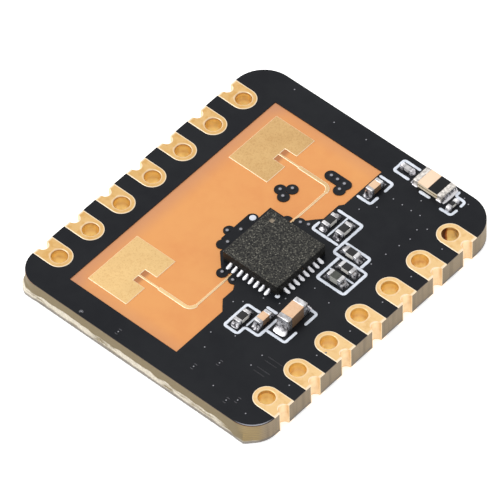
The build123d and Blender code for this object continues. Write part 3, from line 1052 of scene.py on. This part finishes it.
@dataclass(frozen=True)
class Contacts:
    """The plated contacts along both long edges, each with its lands, its hole and its half hole."""

    hole: float = 0.48
    barrel: float = 0.53
    half_hole: float = 0.35
    half_barrel: float = 0.4
    land: float = BOARD.land
    reach: float = BOARD.width / 2 - BOARD.row_x
    top: float = box("left_contact_1")[1, 2]
    rim: float = 0.045
    edge: float = 0.03
    dish: float = 0.006
    # tones up the hole's wall: painted light in amber, paler as a painted highlight near 0.9, painted shadow under
    # the rim
    wall_tones: tuple = ((0.4, -0.95), (0.7, -0.75), (0.9, -0.5), (1.05, -0.7), (1.22, -0.85), (1.3, -1.4),
                         (1.42, -1.35))
    # painted highlight: pale near the hole's rim and the land's edge
    land_tones: tuple = ((0.04, 0.5), (0.16, 0.1), (0.3, 0.0), (0.7, 0.0), (0.84, 0.1), (0.95, 0.8))
    tube_below: float = 0.03
    tube_above: float = 0.02
    # painted highlight on the half hole's wall
    tube_highlight: float = 0.5
    # painted highlight: a pale collar at the top of the left holes' walls
    highlight_from: float = 1.32
    highlight_over: float = 0.08
    highlight_gain: float = 1.3
    stained: str = "right_contact_7"
    stain_turn: float = radians(187)
    stain_depth: float = 2.4

    def angles(self) -> np.ndarray:
        """Angles round the hole, closer together where the outlines turn.

        Returns:
            The angles in rising order, from -pi to pi.
        """
        even = np.linspace(-pi, pi, 97)[:-1]
        tip = np.arcsin(self.half_hole / self.reach)
        corner = np.arctan2(self.land, self.reach)
        near = np.array([tip - 2e-4, tip + 2e-4, corner - 0.01, corner, corner + 0.01, tip * 0.93])
        lower = np.arctan2(self.land, -self.land)
        return np.sort(np.concatenate([even, near, -near, [lower, -lower]]))

    def outlines(self, angle: np.ndarray) -> tuple[np.ndarray, np.ndarray]:
        """How far the upper and the lower land reach at each angle from the hole's centre.

        Towards the board's middle the upper one is a circle and the lower one is square. Towards the edge
        both are the least of the straight sides, the board's edge, and the half hole's circle where a
        ray meets it.

        Args:
            angle: The angles.

        Returns:
            Both distances at each angle.
        """
        cos, sin = np.cos(angle), np.abs(np.sin(angle))
        sides, edge = self.land / np.maximum(sin, SMALLEST), self.reach / np.maximum(cos, SMALLEST)
        inside = self.half_hole**2 - (self.reach * sin) ** 2
        notch = np.where(inside > 0, self.reach * cos - np.sqrt(np.maximum(inside, 0)), np.inf)
        outer = np.minimum(np.minimum(sides, edge), notch)
        square = np.minimum(sides, self.land / np.maximum(np.abs(cos), SMALLEST))
        return np.where(cos > 0, outer, self.land), np.where(cos > 0, outer, square)

    def ring(self) -> tuple[np.ndarray, np.ndarray]:
        """The rows of one contact round its hole, as a closed ring.

        The profile goes up the hole's wall, over its round rim, out over the land, down its round
        edge, back below it, down the barrel, and round the lower land to the start.

        Returns:
            The rows as (rows, points, 3), and a tone for each: over 0 for painted highlights on rims, under 0 for
            painted light and shadow in the hole.
        """
        angle = self.angles()
        upper, lower = self.outlines(angle)
        turn = np.linspace(0, pi / 2, 6)
        rows = [(self.hole, z, tone) for z, tone in ((self.rim, -1.5), *self.wall_tones)]
        rows += [(self.hole + self.rim * (1 - np.cos(t)), self.top - self.rim * (1 - np.sin(t)), 1.2 * t - 1.35)
                 for t in turn]
        inner, outer = self.hole + self.rim, upper - self.edge
        rows += [(inner + (outer - inner) * share, self.top - self.dish * np.sin(pi * share), tone)
                 for share, tone in self.land_tones]
        # painted highlight on the land's round edge and on the lower land
        rows += [(upper - self.edge * (1 - np.sin(t)), self.top - self.edge * (1 - np.cos(t)), 1.0) for t in turn]
        rows += [(upper, BOARD.mask_bottom, 0.4), (self.barrel, BOARD.mask_bottom, 0.0),
                 (self.barrel, BOARD.laminate_bottom, 0.0), (lower, BOARD.laminate_bottom, 0.0),
                 (lower, 0.02, 0.6), (lower - 0.02, 0.0, 0.6), (inner, 0.0, 0.3)]
        distance, height, tone = (np.stack([np.broadcast_to(row[part], angle.shape) for row in rows])
                                  for part in range(3))
        return points(distance * np.cos(angle), distance * np.sin(angle), height), tone

    def half_tube(self) -> np.ndarray:
        """The rows of the half hole's wall, a half ring in plan from the lower land to the upper.

        Returns:
            The rows as (rows, points, 3), from the hole's centre.
        """
        turn = np.linspace(pi / 2, 3 * pi / 2, 25)
        outline = np.concatenate([circle(turn, self.half_hole), circle(turn[::-1], self.half_barrel)])
        low, high = BOARD.laminate_bottom - self.tube_below, BOARD.mask_bottom + self.tube_above
        height = np.linspace(low, high, 9)[:, None]
        return points(outline[:, 0] + self.reach, outline[:, 1], height)

    def build(self, finishes: Finishes) -> None:
        """Makes the fourteen contacts, each in place of its CAD node.

        The holes' tones differ by a random amount. The left ones have a painted highlight, a pale collar on top of
        the hole's wall from a set height up, and one hole is stained on the side at stain_turn.

        Args:
            finishes: The module's finishes.
        """
        rows, tone = self.ring()
        tube = self.half_tube()
        middle = (BOARD.contacts_per_row - 1) / 2
        rng = np.random.default_rng(SEED)
        stain = self.stain_depth * np.clip((np.cos(self.angles() - self.stain_turn) - 0.75) / 0.22, 0, 1)
        # painted highlight: the left holes' pale collar
        collar_highlight = self.highlight_gain * np.clip((rows[..., 2] - self.highlight_from) / self.highlight_over, 0, 1) * (tone < 0)
        for side, side_name, direction in ((-1, "left", 180.0), (1, "right", 0.0)):
            for number in range(BOARD.contacts_per_row):
                centre = BOARD.on((side * BOARD.row_x, (number - middle) * BOARD.pitch))
                name = f"{side_name}_contact_{number + 1}"
                change = rng.uniform(-0.2, 0.25) - stain * (name == self.stained)
                spread = tone + change * (tone < -0.3) + collar_highlight * (side < 0)
                ring = skins(turned(rows, direction, centre), spread, closed=True)
                half = skins(turned(tube, direction, centre), self.tube_highlight)
                place(f"{name}_plated", joined([ring, half]), finishes.contact, name)


@dataclass(frozen=True)
class Antennas:
    """The two patch antennas with their feed lines: plated copper with bevelled rims, and a painted highlight on the
    rims.
    """

    node: np.ndarray
    chip_y: float
    patch_width: float = 2.87
    patch_length: float = 4.05
    inset_depth: float = 0.87
    inset_half: float = 0.485
    start_half: float = 0.07
    start_run: float = 0.58
    main_half: float = 0.13
    run_half: float = 0.0775
    bend: float = 0.45
    bevel: float = 0.045
    feed_highlight: float = 0.3

    @classmethod
    def measured(cls) -> "Antennas":
        """Reads off the frame the far antenna's box and the chip's middle, about which both lie alike."""
        return cls(node=box("far_patch_antenna"), chip_y=box("radar_chip_body")[:, 1].mean() - BOARD.middle_y)

    def outline(self) -> np.ndarray:
        """One antenna's outline, with Y as the distance from the chip's centre, anticlockwise.

        Returns:
            Points as (points, 2).
        """
        (left, run_end, _), (feed_right, high, _) = self.node - (0, self.chip_y + BOARD.middle_y, 0)
        low, right = high - self.patch_length, left + self.patch_width
        middle, feed_x = (low + high) / 2, feed_right - self.run_half
        inset_left, step_x = right - self.inset_depth, right + self.start_run
        bend_x, bend_y = feed_x - self.bend, middle - self.bend
        turn = np.linspace(pi / 2, 0, 12)
        inner = circle(turn, self.bend - self.main_half) + (bend_x, bend_y)
        outer = circle(turn[::-1], self.bend + self.main_half) + (bend_x, bend_y)
        start = np.array([
            (left, low), (right, low), (right, middle - self.inset_half), (inset_left, middle - self.inset_half),
            (inset_left, middle - self.start_half), (step_x, middle - self.start_half),
            (step_x, middle - self.main_half),
        ])
        near, far = feed_x - self.run_half, feed_x + self.run_half
        run = [(near, bend_y), (near, run_end), (far, run_end), (far, bend_y)]
        back = start[::-1] * (1, -1) + (0, 2 * middle)
        return np.concatenate([start, inner, run, outer, back])

    def build(self, finishes: Finishes) -> None:
        """Makes both antennas.

        A rim point comes in along the sum of its two sides' inward normals over 1 plus their product,
        which keeps each side at the same distance.

        Args:
            finishes: The module's finishes.
        """
        outline = self.outline()
        ahead = np.roll(outline, -1, axis=0) - outline
        ahead /= np.linalg.norm(ahead, axis=1, keepdims=True)
        inward = np.stack([-ahead[:, 1], ahead[:, 0]], axis=-1)
        before = np.roll(inward, 1, axis=0)
        mitre = (inward + before) / (1 + (inward * before).sum(1, keepdims=True))
        turn = np.linspace(0, pi / 2, 5)
        inset = np.concatenate([[0], self.bevel * (1 - np.cos(turn))])[:, None, None]
        level = np.concatenate([[BOARD.mask_bottom], self.node[1, 2] - self.bevel * (1 - np.sin(turn))])[:, None]
        # painted highlight: pale on the bevel's rows, and a paler top on the feed lines
        tone = np.tile(np.array([0.8, 1, 1, 1, 0.9, 0])[:, None], len(outline))
        tone[-1, outline[:, 0] > outline[1, 0]] = self.feed_highlight
        for end, name in ((-1, "near_patch_antenna"), (1, "far_patch_antenna")):
            plan = BOARD.on((outline + mitre * inset) * (1, end) + (0, self.chip_y))
            place(f"{name}_plate", skins(raised(plan, level), tone), finishes.antenna, name)


@dataclass(frozen=True)
class MaskRelief:
    """What lies under the mask and shows as a relief: tented vias and the edges of traces, with painted glints on
    them.
    """

    bump_radius: float = 0.19
    bump_height: float = 0.045
    dot_radius: float = 0.085
    dot_height: float = 0.03
    ring_radius: float = 0.19
    bumps: tuple = (
        (-1.87, -0.2), (-1.35, 0.35), (-1.3, -0.8), (-0.1, -2.6), (0.72, -2.65), (0.8, 2.88), (1.25, 3.05),
        (-1.17, 4.45), (-1.64, 3.95), (-1.2, 3.68), (-0.15, 6.57), (0.3, 6.57), (0.8, 6.57), (0.85, 6.1),
    )
    dots: tuple = (
        (3.6, 7.5), (4.25, 7.5), (4.9, 7.5), (5.5, 7.55), (6.45, 7.05), (6.05, 6.65), (3.3, 6.45), (6.2, 5.9),
        (6.05, 5.15), (5.9, 4.2), (2.65, 5.7), (5.75, 3.15), (4.85, 8.4), (-5.9, 10.0), (-2.6, 9.6), (-0.4, 9.8),
        (-4.03, -9.75), (-1.54, -9.47), (3.2, -8.6), (4.1, -7.5), (6.1, -9.2), (6.57, -8.79), (7.51, -9.2),
        (6.55, 10.1), (7.0, 9.9), (8.0, 6.5), (8.0, 3.9), (8.0, 1.5), (8.0, -1.2), (8.0, -3.2), (8.0, -6.2),
        (5.5, -5.6), (5.5, -6.5), (2.3, -6.2), (2.75, -7.2), (4.9, -8.9), (1.79, -3.8), (2.19, -3.44),
        (2.88, -2.53), (3.82, -1.77), (3.8, -2.24), (4.54, -0.17), (5.81, -0.45), (7.75, -3.67), (3.49, -5.53),
    )
    circles: tuple = ((3.2, -8.6), (4.1, -7.5), (6.1, -9.2), (6.57, -8.79), (-1.54, -9.47))
    arc_turn: float = 0.6
    curl: tuple = (-4.03, -9.75)
    curl_radius: float = 0.1
    curl_turns: tuple = (-0.4, 4.6)
    curl_width: float = 0.084
    traces: tuple = (
        ((5.8, -5.45), (6.85, -5.45)), ((5.8, -5.75), (6.7, -5.75)),
        ((5.8, -6.35), (6.75, -6.35)), ((5.8, -6.65), (6.6, -6.65)),
    )
    trace_width: float = 0.06
    trace_height: float = 0.012
    rim_radius: float = 0.045
    rim_least: float = 0.25
    rim_flatness: float = 0.7
    rim_gap: float = 0.002
    sunk: float = 0.01

    def domes(self, centres: tuple, radius: float, height: float) -> Skin:
        """The vias' domes: the radius goes as the cosine of an angle and the height as its sine.

        Args:
            centres: The vias' places from the middle of the contact rows.
            radius, height: The size of each dome.

        Returns:
            The domes.
        """
        rise = np.linspace(0, pi / 2, 6)[:-1]
        # painted glint at the domes' tips
        tone = np.clip((np.sin(rise) - 0.75) / 0.2, 0, 1)[:, None]
        return spots(centres, radius * np.cos(rise), height * np.sin(rise) - self.sunk, 24, tone)

    def arcs(self) -> list[Skin]:
        """Two short arcs at opposite sides of some of the vias, where the mask dips, and a curl round one.

        Returns:
            The arcs and the curl.
        """
        turn = pi / 2 + np.array([[0.0], [pi]]) + np.linspace(-self.arc_turn, self.arc_turn, 7)
        arcs = (np.array(self.circles)[:, None, None] + circle(turn, self.ring_radius)).reshape(-1, 7, 2)
        # the arcs' and the curl's tones paint glints on them
        ridges = [ribbon(arc, self.trace_width, self.trace_height, seed, 0.6, 0.5) for seed, arc in enumerate(arcs)]
        curl = np.array(self.curl) + circle(np.linspace(*self.curl_turns, 14), self.curl_radius)
        return ridges + [ribbon(curl, self.curl_width, self.trace_height, 7, 0.5, 0.6)]

    def corner(self) -> Skin:
        """The mask's round rim along the near right corner, which catches the light, with a painted highlight along
        it.

        Half an ellipse follows the corner's arc, and tapers to its ends as the sine of the way.

        Returns:
            The rim.
        """
        radius = BOARD.near_corner_radius
        way = np.linspace(0, 1, 40)[:, None]
        turn = pi / 2 * (1.1 * way - 0.05)
        around = np.linspace(0, pi, 7)[None]
        size = self.rim_radius * (self.rim_least + (1 - self.rim_least) * np.sin(pi * way))
        reach = radius - self.rim_radius - self.rim_gap + size * np.cos(around)
        x = BOARD.width / 2 - radius + reach * np.sin(turn)
        y = radius - BOARD.length / 2 - reach * np.cos(turn)
        z = BOARD.top - self.sunk + self.rim_flatness * size * np.sin(around)
        return skins(points(x, y, z), np.sin(pi * way) ** 0.5)

    def build(self, finishes: Finishes) -> None:
        """Makes the domes over the vias, the ridges and the corner's rim.

        Args:
            finishes: The module's finishes.
        """
        # the ridges' tone paints a faint highlight along them
        ridges = [ribbon(path, self.trace_width, self.trace_height, seed, 0.8, 0.42)
                  for seed, path in enumerate(self.traces)]
        bumps = self.domes(self.bumps, self.bump_radius, self.bump_height)
        dots = self.domes(self.dots, self.dot_radius, self.dot_height)
        place("tented_vias", joined([bumps, dots, self.corner(), *self.arcs(), *ridges]), finishes.mask)


@dataclass(frozen=True)
class Silkscreen:
    """The white ink: frames round the small parts and the mark by the chip's first lead."""

    width: float = 0.18
    divider_width: float = 0.12
    thickness: float = 0.018
    waver: float = 0.25
    frames: tuple = (
        ((3.47, -3.42), (2.5, -3.42), (2.5, -5.33), (3.47, -5.33), (3.47, -4.72), (4.45, -4.72), (4.45, -3.15)),
        ((4.5, -4.13), (5.85, -4.13), (5.85, -3.15)),
        ((3.42, -2.87), (4.2, -2.87)),
        ((5.85, -2.5), (5.85, -1.47), (4.45, -1.47), (4.45, -2.5)),
        ((1.78, 4.9), (3.6, 4.9), (3.6, 2.45), (6.05, 2.45), (6.05, 0.5), (4.1, 0.5), (4.1, 2.35)),
        ((1.6, 3.6), (1.6, 2.97), (3.5, 2.97)),
        ((3.68, 3.38), (5.5, 3.38), (5.5, 2.55)),
        ((1.9, 8.3), (2.88, 8.3), (2.88, 7.55)),
        ((2.88, 7.05), (2.88, 6.38), (1.9, 6.38)),
        ((3.4, 10.07), (2.22, 10.07), (2.22, 9.13), (3.35, 9.13)),
        ((4.3, 8.87), (5.1, 8.87)),
        ((6.05, 10.3), (6.05, 9.93), (6.77, 9.9), (6.78, 9.45)),
        ((6.8, 9.2), (6.77, 8.67), (5.95, 8.65)),
    )
    dividers: tuple = (
        ((3.47, -4.62), (3.47, -3.52)),
        ((2.6, 4.8), (2.6, 3.07)),
        ((4.2, 1.45), (5.95, 1.45)),
    )
    dots: tuple = ((-1.4, 1.4, 0.2), (3.37, -1.93, 0.14))
    dot_reach: tuple = (1, 1.0, 0.93, 0.7)
    dot_level: tuple = (-SUNK, 0.007, 0.017, 0.019)

    def build(self, finishes: Finishes) -> None:
        """Prints all the ink as one piece: lines, and dots that are flat domes.

        Args:
            finishes: The module's finishes.
        """
        widths = [self.width] * len(self.frames) + [self.divider_width] * len(self.dividers)
        ink = [ribbon(path, width, self.thickness, seed, self.waver, 0.0)
               for seed, (path, width) in enumerate(zip(self.frames + self.dividers, widths))]
        reach, level = np.array(self.dot_reach), np.array(self.dot_level)
        ink += [spots((centre,), radius * reach, level, 32) for *centre, radius in self.dots]
        place("silkscreen", joined(ink), finishes.ink)


# The chip and the small parts


@dataclass(frozen=True)
class RadarChip:
    """The radar chip: its moulded body, its leads and the solder at each of them."""

    x: float
    y: float
    size: float
    height: float
    toe: float
    solder_height: float
    edge: float = 0.03
    lead_pitch: float = 0.4
    leads_per_side: int = 8
    lead_height: float = 0.2
    lead_step: float = 0.012
    solder_width: float = 0.225
    corner: float = 0.05
    foot_gap: float = 0.012
    dimple_radius: float = 0.18
    dimple_depth: float = 0.03
    dimple_inset: float = 0.6
    dimple_rows: tuple = ((1.0, 0.12), (0.93, 0.45), (0.8, 0.8), (0.55, 0.97), (0.2, 1.0))

    @classmethod
    def measured(cls) -> "RadarChip":
        """Reads the chip's place and sizes off the frame.

        Returns:
            The chip.
        """
        body, solder = box("radar_chip_body"), box("radar_chip_solder")
        return cls(
            x=body[:, 0].mean(),
            y=body[:, 1].mean() - BOARD.middle_y,
            size=body[1, 0] - body[0, 0],
            height=body[1, 2] - BOARD.top,
            toe=solder[1, 0] - body[1, 0],
            solder_height=solder[1, 2] - BOARD.top,
        )

    def body(self) -> Skin:
        """The body: its foot stands back by lead_step, and its top runs in to a dimple by lead one.

        Over the top each row is a blend of the body's outline and the dimple's circle. The dimple's own
        rows are at the shares of its radius and of its depth that dimple_rows gives.

        Returns:
            The body's skin.
        """
        step_level = BOARD.top + self.lead_height + SUNK
        high = BOARD.top + self.height
        turn = np.linspace(0, pi / 2, 6)
        inset = np.concatenate([[self.lead_step] * 2, [0.0], self.edge * (1 - np.cos(turn))])
        level = np.concatenate([[BOARD.top + self.foot_gap, step_level, step_level + 0.01],
                                high - self.edge * (1 - np.sin(turn))])
        side = self.size - 2 * inset
        outline = rounded_outline(side, side, np.maximum(self.corner - inset, 0.02), 9)
        angle = np.arctan2(outline[-1, :, 1], outline[-1, :, 0])
        centre = np.array([-1, 1]) * (self.size / 2 - self.dimple_inset)
        rim = circle(angle, self.dimple_radius)
        over = np.linspace(0, 1, 8)[1:, None, None]
        top = outline[-1] * (1 - over) + (centre + rim) * over
        reach, depth = np.array(self.dimple_rows).T
        bowl = centre + rim * reach[:, None, None]
        height = np.concatenate([level, np.full(len(top), high), high - self.dimple_depth * depth])[:, None]
        rows = raised(np.concatenate([outline, top, bowl]), height)
        tone = np.where(np.arange(len(rows)) < len(rows) - len(bowl), 0.0, 0.9)[:, None]
        tone[-len(bowl) - 1] = 0.1
        return skins(turned(rows, 0.0, BOARD.on((self.x, self.y))), tone)

    def solder(self) -> Skin:
        """The solder at the leads, one mound each.

        Outward, a mound's height falls as solder_height x (0.82 (1 - u)^1.7 + 0.18 (1 - u^4)), and
        across it is an ellipse. Its width swells a little in the middle and closes at the toe.

        Returns:
            The 32 mounds.
        """
        middle = (self.leads_per_side - 1) / 2
        offsets = np.tile((np.arange(self.leads_per_side) - middle) * self.lead_pitch, 4)
        direction = np.repeat(np.arange(4) * 90.0, self.leads_per_side)
        rng = np.random.default_rng(SEED)
        count = len(offsets)
        reach = self.toe * rng.uniform(0.9, 1.0, (count, 1, 1))
        swell = rng.uniform(0.92, 1.08, (count, 1, 1))
        u = np.linspace(0, 1, 12)[:, None]
        around = np.linspace(0, pi, 11)
        width = self.solder_width / 2 * swell * (0.86 + 0.2 * np.sin(pi * u)) * np.sqrt(1 - (0.985 * u) ** 6)
        rise = self.solder_height * (0.82 * (1 - u) ** 1.7 + 0.18 * (1 - u**4)) + SUNK
        across = offsets[:, None, None] + width * np.cos(around)
        rows = points(self.size / 2 - SUNK + reach * u, across, BOARD.top - SUNK + rise * np.sin(around) ** 0.8)
        return skins(turned(rows, direction, np.tile(BOARD.on((self.x, self.y)), (count, 1))))

    def build(self, finishes: Finishes) -> None:
        """Makes the chip's pieces.

        Args:
            finishes: The module's finishes.
        """
        place("radar_chip_case", self.body(), finishes.chip, "radar_chip_body")
        place("radar_chip_joints", self.solder(), finishes.solder, "radar_chip_solder")
        dress(finishes.tinned, "radar_chip_leads", "radar_chip_heat_pad")


class Kind(Enum):
    """What a two-terminal part is, which sets how its body is built and dressed."""

    RESISTOR = "resistor"
    CAPACITOR = "capacitor"
    PALE_CAPACITOR = "pale capacitor"
    INDUCTOR = "inductor"
    DIODE = "diode"


class Toe(Enum):
    """How far the solder runs out past a part's ends, by the size of its case."""

    TINY = 0.22
    SMALL = 0.27
    MEDIUM = 0.43
    DIODE = 0.2


@dataclass(frozen=True)
class SmallPart:
    """A two-terminal part: its place and sizes as the CAD has them, and what it is."""

    name: str
    kind: Kind
    x: float
    y: float
    length: float
    width: float
    height: float
    terminal: float
    toe: float
    direction: float
    overcoat: float = 0.04
    skirt: float = 0.012
    smallest: float = 0.8
    rise_share: float = 0.68
    film: float = 0.045
    rim_height: float = 0.085

    @classmethod
    def measured(cls, name: str, kind: Kind, direction: float, toe: Toe) -> "SmallPart":
        """Reads a part's place and sizes off the frame.

        A box of length a and width b that is turned by t measures a |cos t| + b |sin t| along X and
        a |sin t| + b |cos t| along Y, which gives a and b from both.

        Args:
            name: The part's name.
            kind: What it is.
            direction: Its turn in degrees.
            toe: How far its solder runs out past each end.

        Returns:
            The part.
        """
        cos, sin = abs(np.cos(radians(direction))), abs(np.sin(radians(direction)))
        unturn = np.linalg.inv([[cos, sin], [sin, cos]])
        ends, body = box(f"{name}_terminals"), box(f"{name}_body")
        length, width = unturn @ (ends[1] - ends[0])[:2]
        between = (unturn @ (body[1] - body[0])[:2])[0]
        x, y, _ = ends.mean(0)
        return cls(name, kind, x, y - BOARD.middle_y, length, width, height=ends[1, 2] - BOARD.top,
                   terminal=(length - between) / 2, toe=toe.value, direction=direction)

    def between(self, *block: float) -> Skin:
        """A rounded block of these sizes in the part's middle."""
        return skins(turned(rounded_block(*block), self.direction, BOARD.on((self.x, self.y))))

    def at_ends(self, rows: np.ndarray, tone: np.ndarray | float = 0.0) -> Skin:
        """The rows of one end's shape, given along the part's own length, at both of its ends."""
        directions = self.direction + np.array([0.0, 180.0])
        return skins(turned(rows[None], directions, np.tile(BOARD.on((self.x, self.y)), (2, 1))), tone)

    def body(self) -> Skin:
        """The block between the terminals, a little narrower than they are.

        Returns:
            The block.
        """
        coat = self.overcoat if self.kind is Kind.RESISTOR else 0.0
        length, width = self.length - 2 * self.terminal + 0.04, self.width - 2 * self.skirt
        return self.between(length, width, BOARD.top + 0.03, BOARD.top + self.height - coat - self.skirt, 0.015, 0.02)

    def coat(self) -> Skin:
        """A resistor's dark coat, domed a little over the body.

        Returns:
            The coat.
        """
        length, width = self.length - 2 * self.terminal + 0.05, self.width - 3 * self.skirt
        high = BOARD.top + self.height - self.skirt / 3
        return self.between(length, width, high - self.overcoat - 0.01, high, 0.018, 0.05)

    def terminals(self) -> Skin:
        """The two metal ends, rounded as dipped metal is.

        Returns:
            Both ends.
        """
        edge = min(0.22 * self.terminal, 0.07)
        block = rounded_block(self.terminal, self.width, BOARD.top, BOARD.top + self.height, edge, edge)
        return self.at_ends(block + ((self.length - self.terminal) / 2, 0, 0))

    def rims(self) -> Skin:
        """The low rims of solder round the feet of the diode's terminals, with a painted sheen that keeps them
        bright.

        Returns:
            Both rims.
        """
        long, wide = self.terminal + 0.04, self.width + 0.18
        block = rounded_block(long, wide, BOARD.top - SUNK, BOARD.top + self.rim_height, 0.04, 0.06)
        # tone 0.9: painted sheen
        return self.at_ends(block + ((self.length - self.terminal) / 2, 0, 0), 0.9)

    def solder(self) -> Skin:
        """The solder at each end: a hollow fillet that runs out to a narrow round toe, with a painted sheen towards
        the toe, duller on short parts.

        Outward, its height falls as rise_share x height x (1 - u)^2.8 plus a fine film, and its width is the
        terminal's, closing at the toe as the square root of 1 - u^10. On the smallest parts it is a
        mound over the whole end, as high as the square root of 1 - v x v, where v goes from -1 to 1.

        Returns:
            The two fillets.
        """
        u = np.linspace(0, 1, 14)[:, None]
        around = np.linspace(0, pi, 15)[None]
        half = self.width / 2 * 1.03 * np.sqrt(1 - (0.985 * u) ** 10)
        rise = self.rise_share * self.height * (1 - u) ** 2.8 + self.film * (1 - u**6) + SUNK
        # painted sheen: brighter towards the toe on long parts, duller on short ones, and bright all over on the
        # smallest
        toe_sheen = np.interp(self.length, (1.0, 1.6), (-0.3, 0.9))
        start, tone = 0.01, toe_sheen * np.clip((u - 0.3) / 0.35, 0, 1)
        if self.length < self.smallest:
            start, tone = self.terminal, 0.6
            mound = np.sqrt(1 - (0.995 * (2 * u - 1)) ** 2)
            half, rise = self.width / 2 * 1.15 * mound**0.8, (self.height + 0.03) * mound
        out = self.length / 2 - start + (self.toe + start) * u
        across = half * np.sign(np.cos(around)) * np.abs(np.cos(around)) ** 0.55
        return self.at_ends(points(out, across, BOARD.top - SUNK + rise * np.sin(around) ** 0.45), tone)

    def build(self, finishes: Finishes) -> Skin:
        """Makes the part's body and terminals, and gives back its solder for the joint piece.

        Args:
            finishes: The module's finishes.

        Returns:
            The part's solder.
        """
        finish = {
            Kind.RESISTOR: finishes.alumina,
            Kind.CAPACITOR: finishes.capacitor,
            Kind.PALE_CAPACITOR: finishes.pale,
            Kind.INDUCTOR: finishes.ferrite,
            Kind.DIODE: finishes.diode,
        }[self.kind]
        place(f"{self.name}_block", self.body(), finish, f"{self.name}_body")
        ends = finishes.diode_ends if self.kind is Kind.DIODE else finishes.tinned
        place(f"{self.name}_ends", self.terminals(), ends, f"{self.name}_terminals")
        return joined([self.solder(), self.rims()]) if self.kind is Kind.DIODE else self.solder()


@dataclass(frozen=True)
class Circuit:
    """The small parts together with the pieces that they share."""

    parts: tuple = (
        ("resistor_1", Kind.RESISTOR, 90.0, Toe.SMALL),
        ("resistor_2", Kind.RESISTOR, 90.0, Toe.SMALL),
        ("resistor_3", Kind.RESISTOR, 90.0, Toe.SMALL),
        ("resistor_4", Kind.RESISTOR, 0.0, Toe.SMALL),
        ("resistor_5", Kind.RESISTOR, 0.0, Toe.SMALL),
        ("resistor_6", Kind.RESISTOR, 90.0, Toe.TINY),
        ("inductor", Kind.INDUCTOR, 0.0, Toe.SMALL),
        ("supply_capacitor", Kind.CAPACITOR, 93.0, Toe.MEDIUM),
        ("near_bypass_capacitor", Kind.CAPACITOR, 90.0, Toe.SMALL),
        ("far_bypass_capacitor", Kind.CAPACITOR, 90.0, Toe.SMALL),
        ("corner_capacitor", Kind.PALE_CAPACITOR, 0.0, Toe.TINY),
        ("protection_diode", Kind.DIODE, 0.0, Toe.DIODE),
    )

    def build(self, finishes: Finishes) -> None:
        """Makes every part, the resistors' coats and the solder joints.

        Args:
            finishes: The module's finishes.
        """
        parts = [SmallPart.measured(*part) for part in self.parts]
        joints = [part.build(finishes) for part in parts]
        coats = [part.coat() for part in parts if part.kind is Kind.RESISTOR]
        place("resistor_coats", joined(coats), finishes.overcoat, "resistor_overcoats")
        place("part_joints", joined(joints), finishes.joint, "part_solder")


# The photograph's setting


@dataclass(frozen=True)
class Studio:
    """The pale floor, the soft light and the camera at the photograph's angle."""

    lens: float = 467.1
    position: tuple = (0.15668, -0.16902, 0.27459)
    right: tuple = (0.747, 0.6645, -0.0189)
    up: tuple = (-0.4994, 0.5797, 0.6438)
    bright_side: float = 1.25
    dim_side: float = 0.68
    key_strength: float = 1.0
    key_spread: float = radians(35)
    key_ahead: tuple = (0.55, 0.62, -1.0)
    floor_glow: float = 0.5
    floor_half: float = 0.8
    floor_level: float = -0.00001

    def camera(self) -> None:
        """Sets the camera at the place and the turn that fit the photograph."""
        right = Vector(self.right).normalized()
        back = right.cross(Vector(self.up)).normalized()
        up = back.cross(right)
        data = bpy.data.cameras.new("Camera")
        data.lens = self.lens
        data.sensor_width = 36.0
        data.clip_start, data.clip_end = 0.01, 5.0
        camera = shown("Camera", data)
        turn = Matrix((right, up, back)).transposed().to_4x4()
        camera.matrix_world = Matrix.Translation(self.position) @ turn
        bpy.context.scene.camera = camera

    def floor(self) -> None:
        """Lays the plain white floor just under the board."""
        mesh = bpy.data.meshes.new("floor")
        corners = ((-1, -1), (1, -1), (1, 1), (-1, 1))
        mesh.from_pydata([(x * self.floor_half, y * self.floor_half, 0) for x, y in corners], [], [(0, 1, 2, 3)])
        shade = Shade("Floor", Base_Color=(0.92, 0.92, 0.92), Roughness=0.9, Specular_IOR_Level=0.1,
                      Emission_Color=(1.0, 1.0, 1.0), Emission_Strength=self.floor_glow)
        mesh.materials.append(shade.material)
        floor = shown("floor", mesh)
        floor.location.z = self.floor_level

    def light(self) -> None:
        """Lights the scene with a white surround, brighter on the left, and a soft key from there."""
        world = bpy.data.worlds.new("Studio")
        world.use_nodes = True
        nodes = Nodes(world.node_tree)
        across = nodes.add("ShaderNodeSeparateXYZ", {0: nodes.add("ShaderNodeTexCoord", output="Generated")}, "X")
        sides = {"Value": across, "From Min": -1.0, "From Max": 1.0, "To Min": self.bright_side,
                 "To Max": self.dim_side}
        background = world.node_tree.nodes["Background"]
        background.inputs["Color"].default_value = (1.0, 1.0, 1.0, 1.0)
        world.node_tree.links.new(nodes.add("ShaderNodeMapRange", sides), background.inputs["Strength"])
        bpy.context.scene.world = world
        data = bpy.data.lights.new("Key", "SUN")
        data.energy = self.key_strength
        data.angle = self.key_spread
        shown("Key", data).rotation_euler = Vector(self.key_ahead).to_track_quat("-Z", "Y").to_euler()
        bpy.context.scene.view_settings.view_transform = "Standard"

    def build(self) -> None:
        """Sets up the whole studio."""
        self.camera()
        self.floor()
        self.light()


def main() -> None:
    """Builds the module piece by piece and the studio round it."""
    logging.basicConfig(level=logging.INFO, format="%(name)s: %(message)s")
    finishes = Finishes()
    dress(finishes.mask, "upper_mask", "mask_islands", "ground_plane")
    BoardEdge().build(finishes)
    Contacts().build(finishes)
    Antennas.measured().build(finishes)
    MaskRelief().build(finishes)
    Silkscreen().build(finishes)
    RadarChip.measured().build(finishes)
    Circuit().build(finishes)
    Studio().build()


if __name__ == "__main__":
    main()
